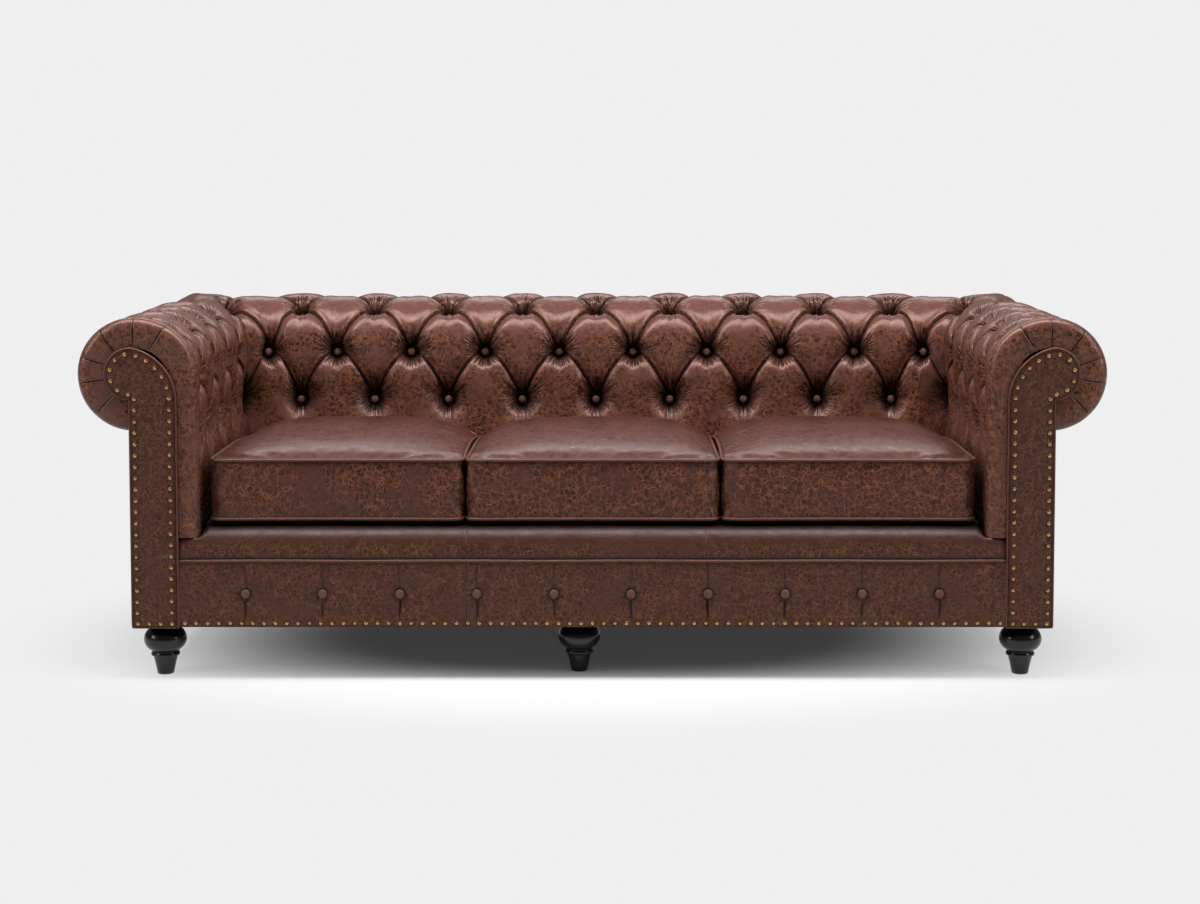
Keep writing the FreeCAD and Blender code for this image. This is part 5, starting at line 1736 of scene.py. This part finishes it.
@dataclass
class Base:
    """Seat deck, outside panels, dust cover and turned feet."""

    finishes: Finishes
    foot_tall: float = 114.0
    foot_inset: float = 46.0
    middle_x: float = -30.0
    deck_seam: float = 271.0
    deck_channel: float = 90.0

    def deck(self) -> None:
        """Make the padded deck under the cushions, quilted in channels across the seat."""
        low, high = box_mm("seat_deck")
        xs = np.linspace(low[0] + 0.3, high[0] - 0.3, 150)
        ys = np.linspace(low[1] + 0.3, high[1] - 0.3, 70)
        x, y = np.meshgrid(xs, ys, indexing="ij")
        edge = edge_gap(x, y, low, high)
        seams = [x + self.deck_seam, x - self.deck_seam, y - low[1] - self.deck_channel]
        sewn = np.clip(sum(bell(seam, 4) for seam in seams), 0, 1)
        z = high[2] - 0.6 - 5.0 * np.exp(-edge / 7) - 3.0 * sewn
        z = np.minimum(z + ripple(np.stack([x, y, z], -1), 90.0, 5.0) * 0.8, high[2] - 0.3)
        shell = Shell()
        shell.slab(np.stack([x, y, z], -1), np.stack([x, y, 0 * z + low[2] + 0.3], -1), sewn * 0.8)
        shell.place("quilted_seat_deck", self.finishes, "deck_cloth", "seat_deck")

    def panel(self, name: str, node: str, side: int, back: bool) -> None:
        """Make one softly padded outside panel over its board.

        Args:
            name: The piece's name.
            node: The CAD node that it stands for.
            side: Sign of the outward direction.
            back: True for the panel behind, false for one beside.
        """
        low, high = box_mm(node)
        first, last = (low[0], high[0]) if back else (low[1], high[1])
        us = np.linspace(first, last, 120 if back else 60)
        vs = np.linspace(low[2], high[2], 44)
        u, v = np.meshgrid(us, vs, indexing="ij")
        edge = np.minimum(np.minimum(u - first, last - u), v - low[2])
        out = 2.4 * (1 - np.exp(-edge / 9)) - 1.4
        out += (ripple(np.stack([u, v, 0 * u], -1), 160.0, 30.0 + side) * 1.2) * np.clip(edge / 30, 0, 1)
        # Painted shade along the edges
        crease = np.clip(1 - edge / 5, 0, 1) * 0.6
        if back:
            outer = np.stack([u, high[1] + out, v], -1)
            inner = np.stack([u, 0 * u + low[1], v], -1)
        else:
            face = high[0] if side > 0 else low[0]
            wall = low[0] if side > 0 else high[0]
            outer = np.stack([face + side * out, u, v], -1)
            inner = np.stack([0 * u + wall, u, v], -1)
        shell = Shell()
        shell.slab(outer, inner, crease)
        shell.place(name, self.finishes, "plain_leather", node)

    def dust_cover(self) -> None:
        """Make the stapled cloth under the frame."""
        low, high = box_mm("dust_cover")
        xs = np.linspace(low[0], high[0], 90)
        ys = np.linspace(low[1], high[1], 44)
        x, y = np.meshgrid(xs, ys, indexing="ij")
        z = high[2] - 0.4 + 0 * x
        z = z - 1.2 * (1 - np.exp(-edge_gap(x, y, low, high) / 60)) + ripple(np.stack([x, y, z], -1), 120.0, 12.0) * 0.3
        shell = Shell()
        shell.grid(np.stack([x, y, z], -1))
        cover = shell.place("stapled_dust_cloth", self.finishes, "dust_cloth", "dust_cover")

    def feet(self) -> None:
        """Turn the feet."""
        # Reach and height of the turned profile, from the floor up, with a ball under the frame
        ball = []
        for angle in np.linspace(-50, 62, 15):
            turn = math.radians(angle)
            ball.append((13.5 + 32.5 * math.cos(turn), 77.0 + 29.0 * math.sin(turn)))
        profile = [
            (4.0, 0.3), (16.6, 0.3), (18.0, 1.6), (19.2, 8.0), (22.4, 24.0), (25.8, 37.6), (26.0, 39.0), (27.6, 40.2),
            (30.4, 41.2), (31.0, 43.0), (31.0, 45.2), (30.2, 47.2), (28.6, 48.2), (28.0, 49.4), (30.0, 51.4),
        ]
        profile += ball + [(30.0, 105.6), (30.2, 106.8), (30.2, self.foot_tall - 0.2), (4.0, self.foot_tall - 0.2)]
        for name, node in (("turned_front_feet", "front_feet"), ("turned_rear_feet", "rear_feet")):
            shell = Shell()
            low, high = box_mm(node)
            # The corner feet stand at the outer edge of the feet's box, the middle foot at its inner edge
            near, far = low[1] + self.foot_inset, high[1] - self.foot_inset
            corners, middle = (near, far) if node == "front_feet" else (far, near)
            left, right = low[0] + self.foot_inset, high[0] - self.foot_inset
            for x, y in ((left, corners), (right, corners), (self.middle_x, middle)):
                shell.lathe((x, y, 0.0), (0, 0, 1), profile, 48)
            shell.place(name, self.finishes, "black_lacquer", node)

    def build(self) -> None:
        """Make everything under and outside the seat."""
        self.deck()
        self.panel("outside_back_leather", "outside_back_panel", 1, True)
        for side in Side:
            self.panel(f"outside_arm_leather_{side.word}", f"outside_arm_panel_{side.word}", side.value, False)
        self.dust_cover()
        self.feet()


@dataclass(frozen=True)
class Lamp:
    """A soft rectangular lamp: where it hangs, what it faces, its size in metres and its power."""

    name: str
    place: Point
    aim: Point
    size: tuple[float, float]
    watts: float

    def hang(self) -> None:
        """Add the lamp to the scene."""
        data = bpy.data.lights.new(self.name, "AREA")
        data.shape = "RECTANGLE"
        data.size, data.size_y = self.size
        data.energy = self.watts
        lamp = add_object(self.name, data)
        lamp.location = self.place
        lamp.rotation_euler = (Vector(self.aim) - Vector(self.place)).to_track_quat("-Z", "Y").to_euler()


@dataclass
class Studio:
    """Camera, floor and lights.

    The vanishing point's column and the horizon's row in the photograph set the camera's shift.
    """

    eye: Point = (0.06, -5.165, 1.15)
    pitch: float = 4.0
    focal_px: float = 2226.0
    vanish_px: float = 620.5
    horizon_px: float = 142.5
    ground: str = "#EFEFEF"
    paper: str = "#D6D6D6"
    fleck: str = "#D4D4D4"
    floor_half: float = 12.0
    shadow_reach: Point = (1.32, 0.86, 1.0)
    room_strength: float = 0.12
    sensor_mm: float = 36.0
    view_end: float = 60.0
    lamps: tuple[Lamp, ...] = (
        Lamp("overhead", (0.0, -0.68, 2.75), (0.0, -0.1, 0.2), (4.4, 0.9), 144.0),
        Lamp("rear", (0.0, 2.4, 2.7), (0.0, 0.0, 0.5), (4.2, 0.9), 34.0),
        Lamp("left", (-3.0, -1.5, 1.8), (0.0, 0.1, 0.55), (0.6, 1.8), 32.0),
        Lamp("right", (3.0, -1.5, 1.8), (0.0, 0.1, 0.55), (0.6, 1.8), 32.0),
    )

    def camera(self) -> None:
        """Set the camera at the photograph's angle."""
        data = bpy.data.cameras.new("camera")
        data.sensor_fit = "HORIZONTAL"
        data.sensor_width = self.sensor_mm
        data.lens = self.focal_px / IMAGE_WIDTH * data.sensor_width
        drop = self.focal_px * math.tan(math.radians(self.pitch))
        data.shift_x = (IMAGE_WIDTH / 2 - self.vanish_px) / IMAGE_WIDTH
        data.shift_y = -(IMAGE_HEIGHT / 2 - self.horizon_px - drop) / IMAGE_WIDTH
        data.clip_end = self.view_end
        camera = add_object("camera", data)
        camera.location = self.eye
        camera.rotation_euler = (math.radians(90 - self.pitch), 0, 0)
        bpy.context.scene.camera = camera

    def floor(self) -> None:
        """Lay the floor, which meets the world's colour far away."""
        half = self.floor_half
        mesh = bpy.data.meshes.new("studio_floor")
        mesh.from_pydata([(-half, -half, 0), (half, -half, 0), (half, half, 0), (-half, half, 0)], [], [(0, 1, 2, 3)])
        floor = add_object("studio_floor", mesh)
        # Seamless studio paper: matt and even, and lit by itself where no shadow falls
        material, tree, place = new_material("studio_paper")
        fleck = add_node(tree, "TexNoise", {"Vector": place, "Scale": 0.4, "Detail": 1.0})
        share = add_node(tree, "MapRange", (fleck, 0.3, 0.7, 0.0, 1.0))
        tones = {FACTOR: share, BELOW: colour(self.paper), ABOVE: colour(self.fleck)}
        paper = add_node(tree, "BsdfDiffuse", {"Color": add_node(tree, "Mix", tones, MIXED, **RGBA)})
        glow = add_node(tree, "Emission", {"Color": colour(self.ground), "Strength": 1.0})
        apart = add_node(tree, "VectorMath", {0: place, 1: self.shadow_reach}, operation="DIVIDE")
        apart = add_node(tree, "VectorMath", {0: apart}, "Value", operation="LENGTH")
        apart = add_node(tree, "MapRange", (apart, 0.4, 1.15, 0.04, 1.0), **SMOOTH)
        seen = add_node(tree, "LightPath", output="Is Camera Ray")
        glossy = add_node(tree, "LightPath", output="Is Glossy Ray")
        seen = add_node(tree, "Math", (seen, glossy), operation="MAXIMUM")
        share = add_node(tree, "Math", (seen, apart), operation="MULTIPLY")
        add_node(tree, "OutputMaterial", {"Surface": add_node(tree, "MixShader", (share, paper, glow))})
        mesh.materials.append(material)

    def world(self) -> None:
        """Fill the room with soft light."""
        world = bpy.data.worlds.new("studio")
        bpy.context.scene.world = world
        world.use_nodes = True
        tree = world.node_tree
        tree.nodes.clear()
        room = add_node(tree, "Background", {"Color": (1, 1, 1, 1), "Strength": self.room_strength})
        back = add_node(tree, "Background", {"Color": colour(self.ground), "Strength": 1.0})
        seen = add_node(tree, "LightPath", output="Is Camera Ray")
        add_node(tree, "OutputWorld", {"Surface": add_node(tree, "MixShader", (seen, room, back))})

    def build(self) -> None:
        """Set up the studio."""
        self.camera()
        self.floor()
        self.world()
        for lamp in self.lamps:
            lamp.hang()
        bpy.context.scene.view_settings.view_transform = "Standard"


def main() -> None:
    """Build the sofa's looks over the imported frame."""
    logging.basicConfig(level=logging.INFO, format="%(name)s: %(message)s")
    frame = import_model()
    form = SofaForm()
    tufting = Tufting(form)
    finishes = Finishes()
    finishes.make()
    finishes.dress(frame["nodes"], frame["record"])
    Studio().build()
    TuftedPads(form, tufting, finishes).build()
    ArmFronts(form, tufting, finishes).build()
    FrontBorder(form, finishes).build()
    SeatCushions(form, finishes).build()
    Base(finishes).build()


if __name__ == "__main__":
    main()
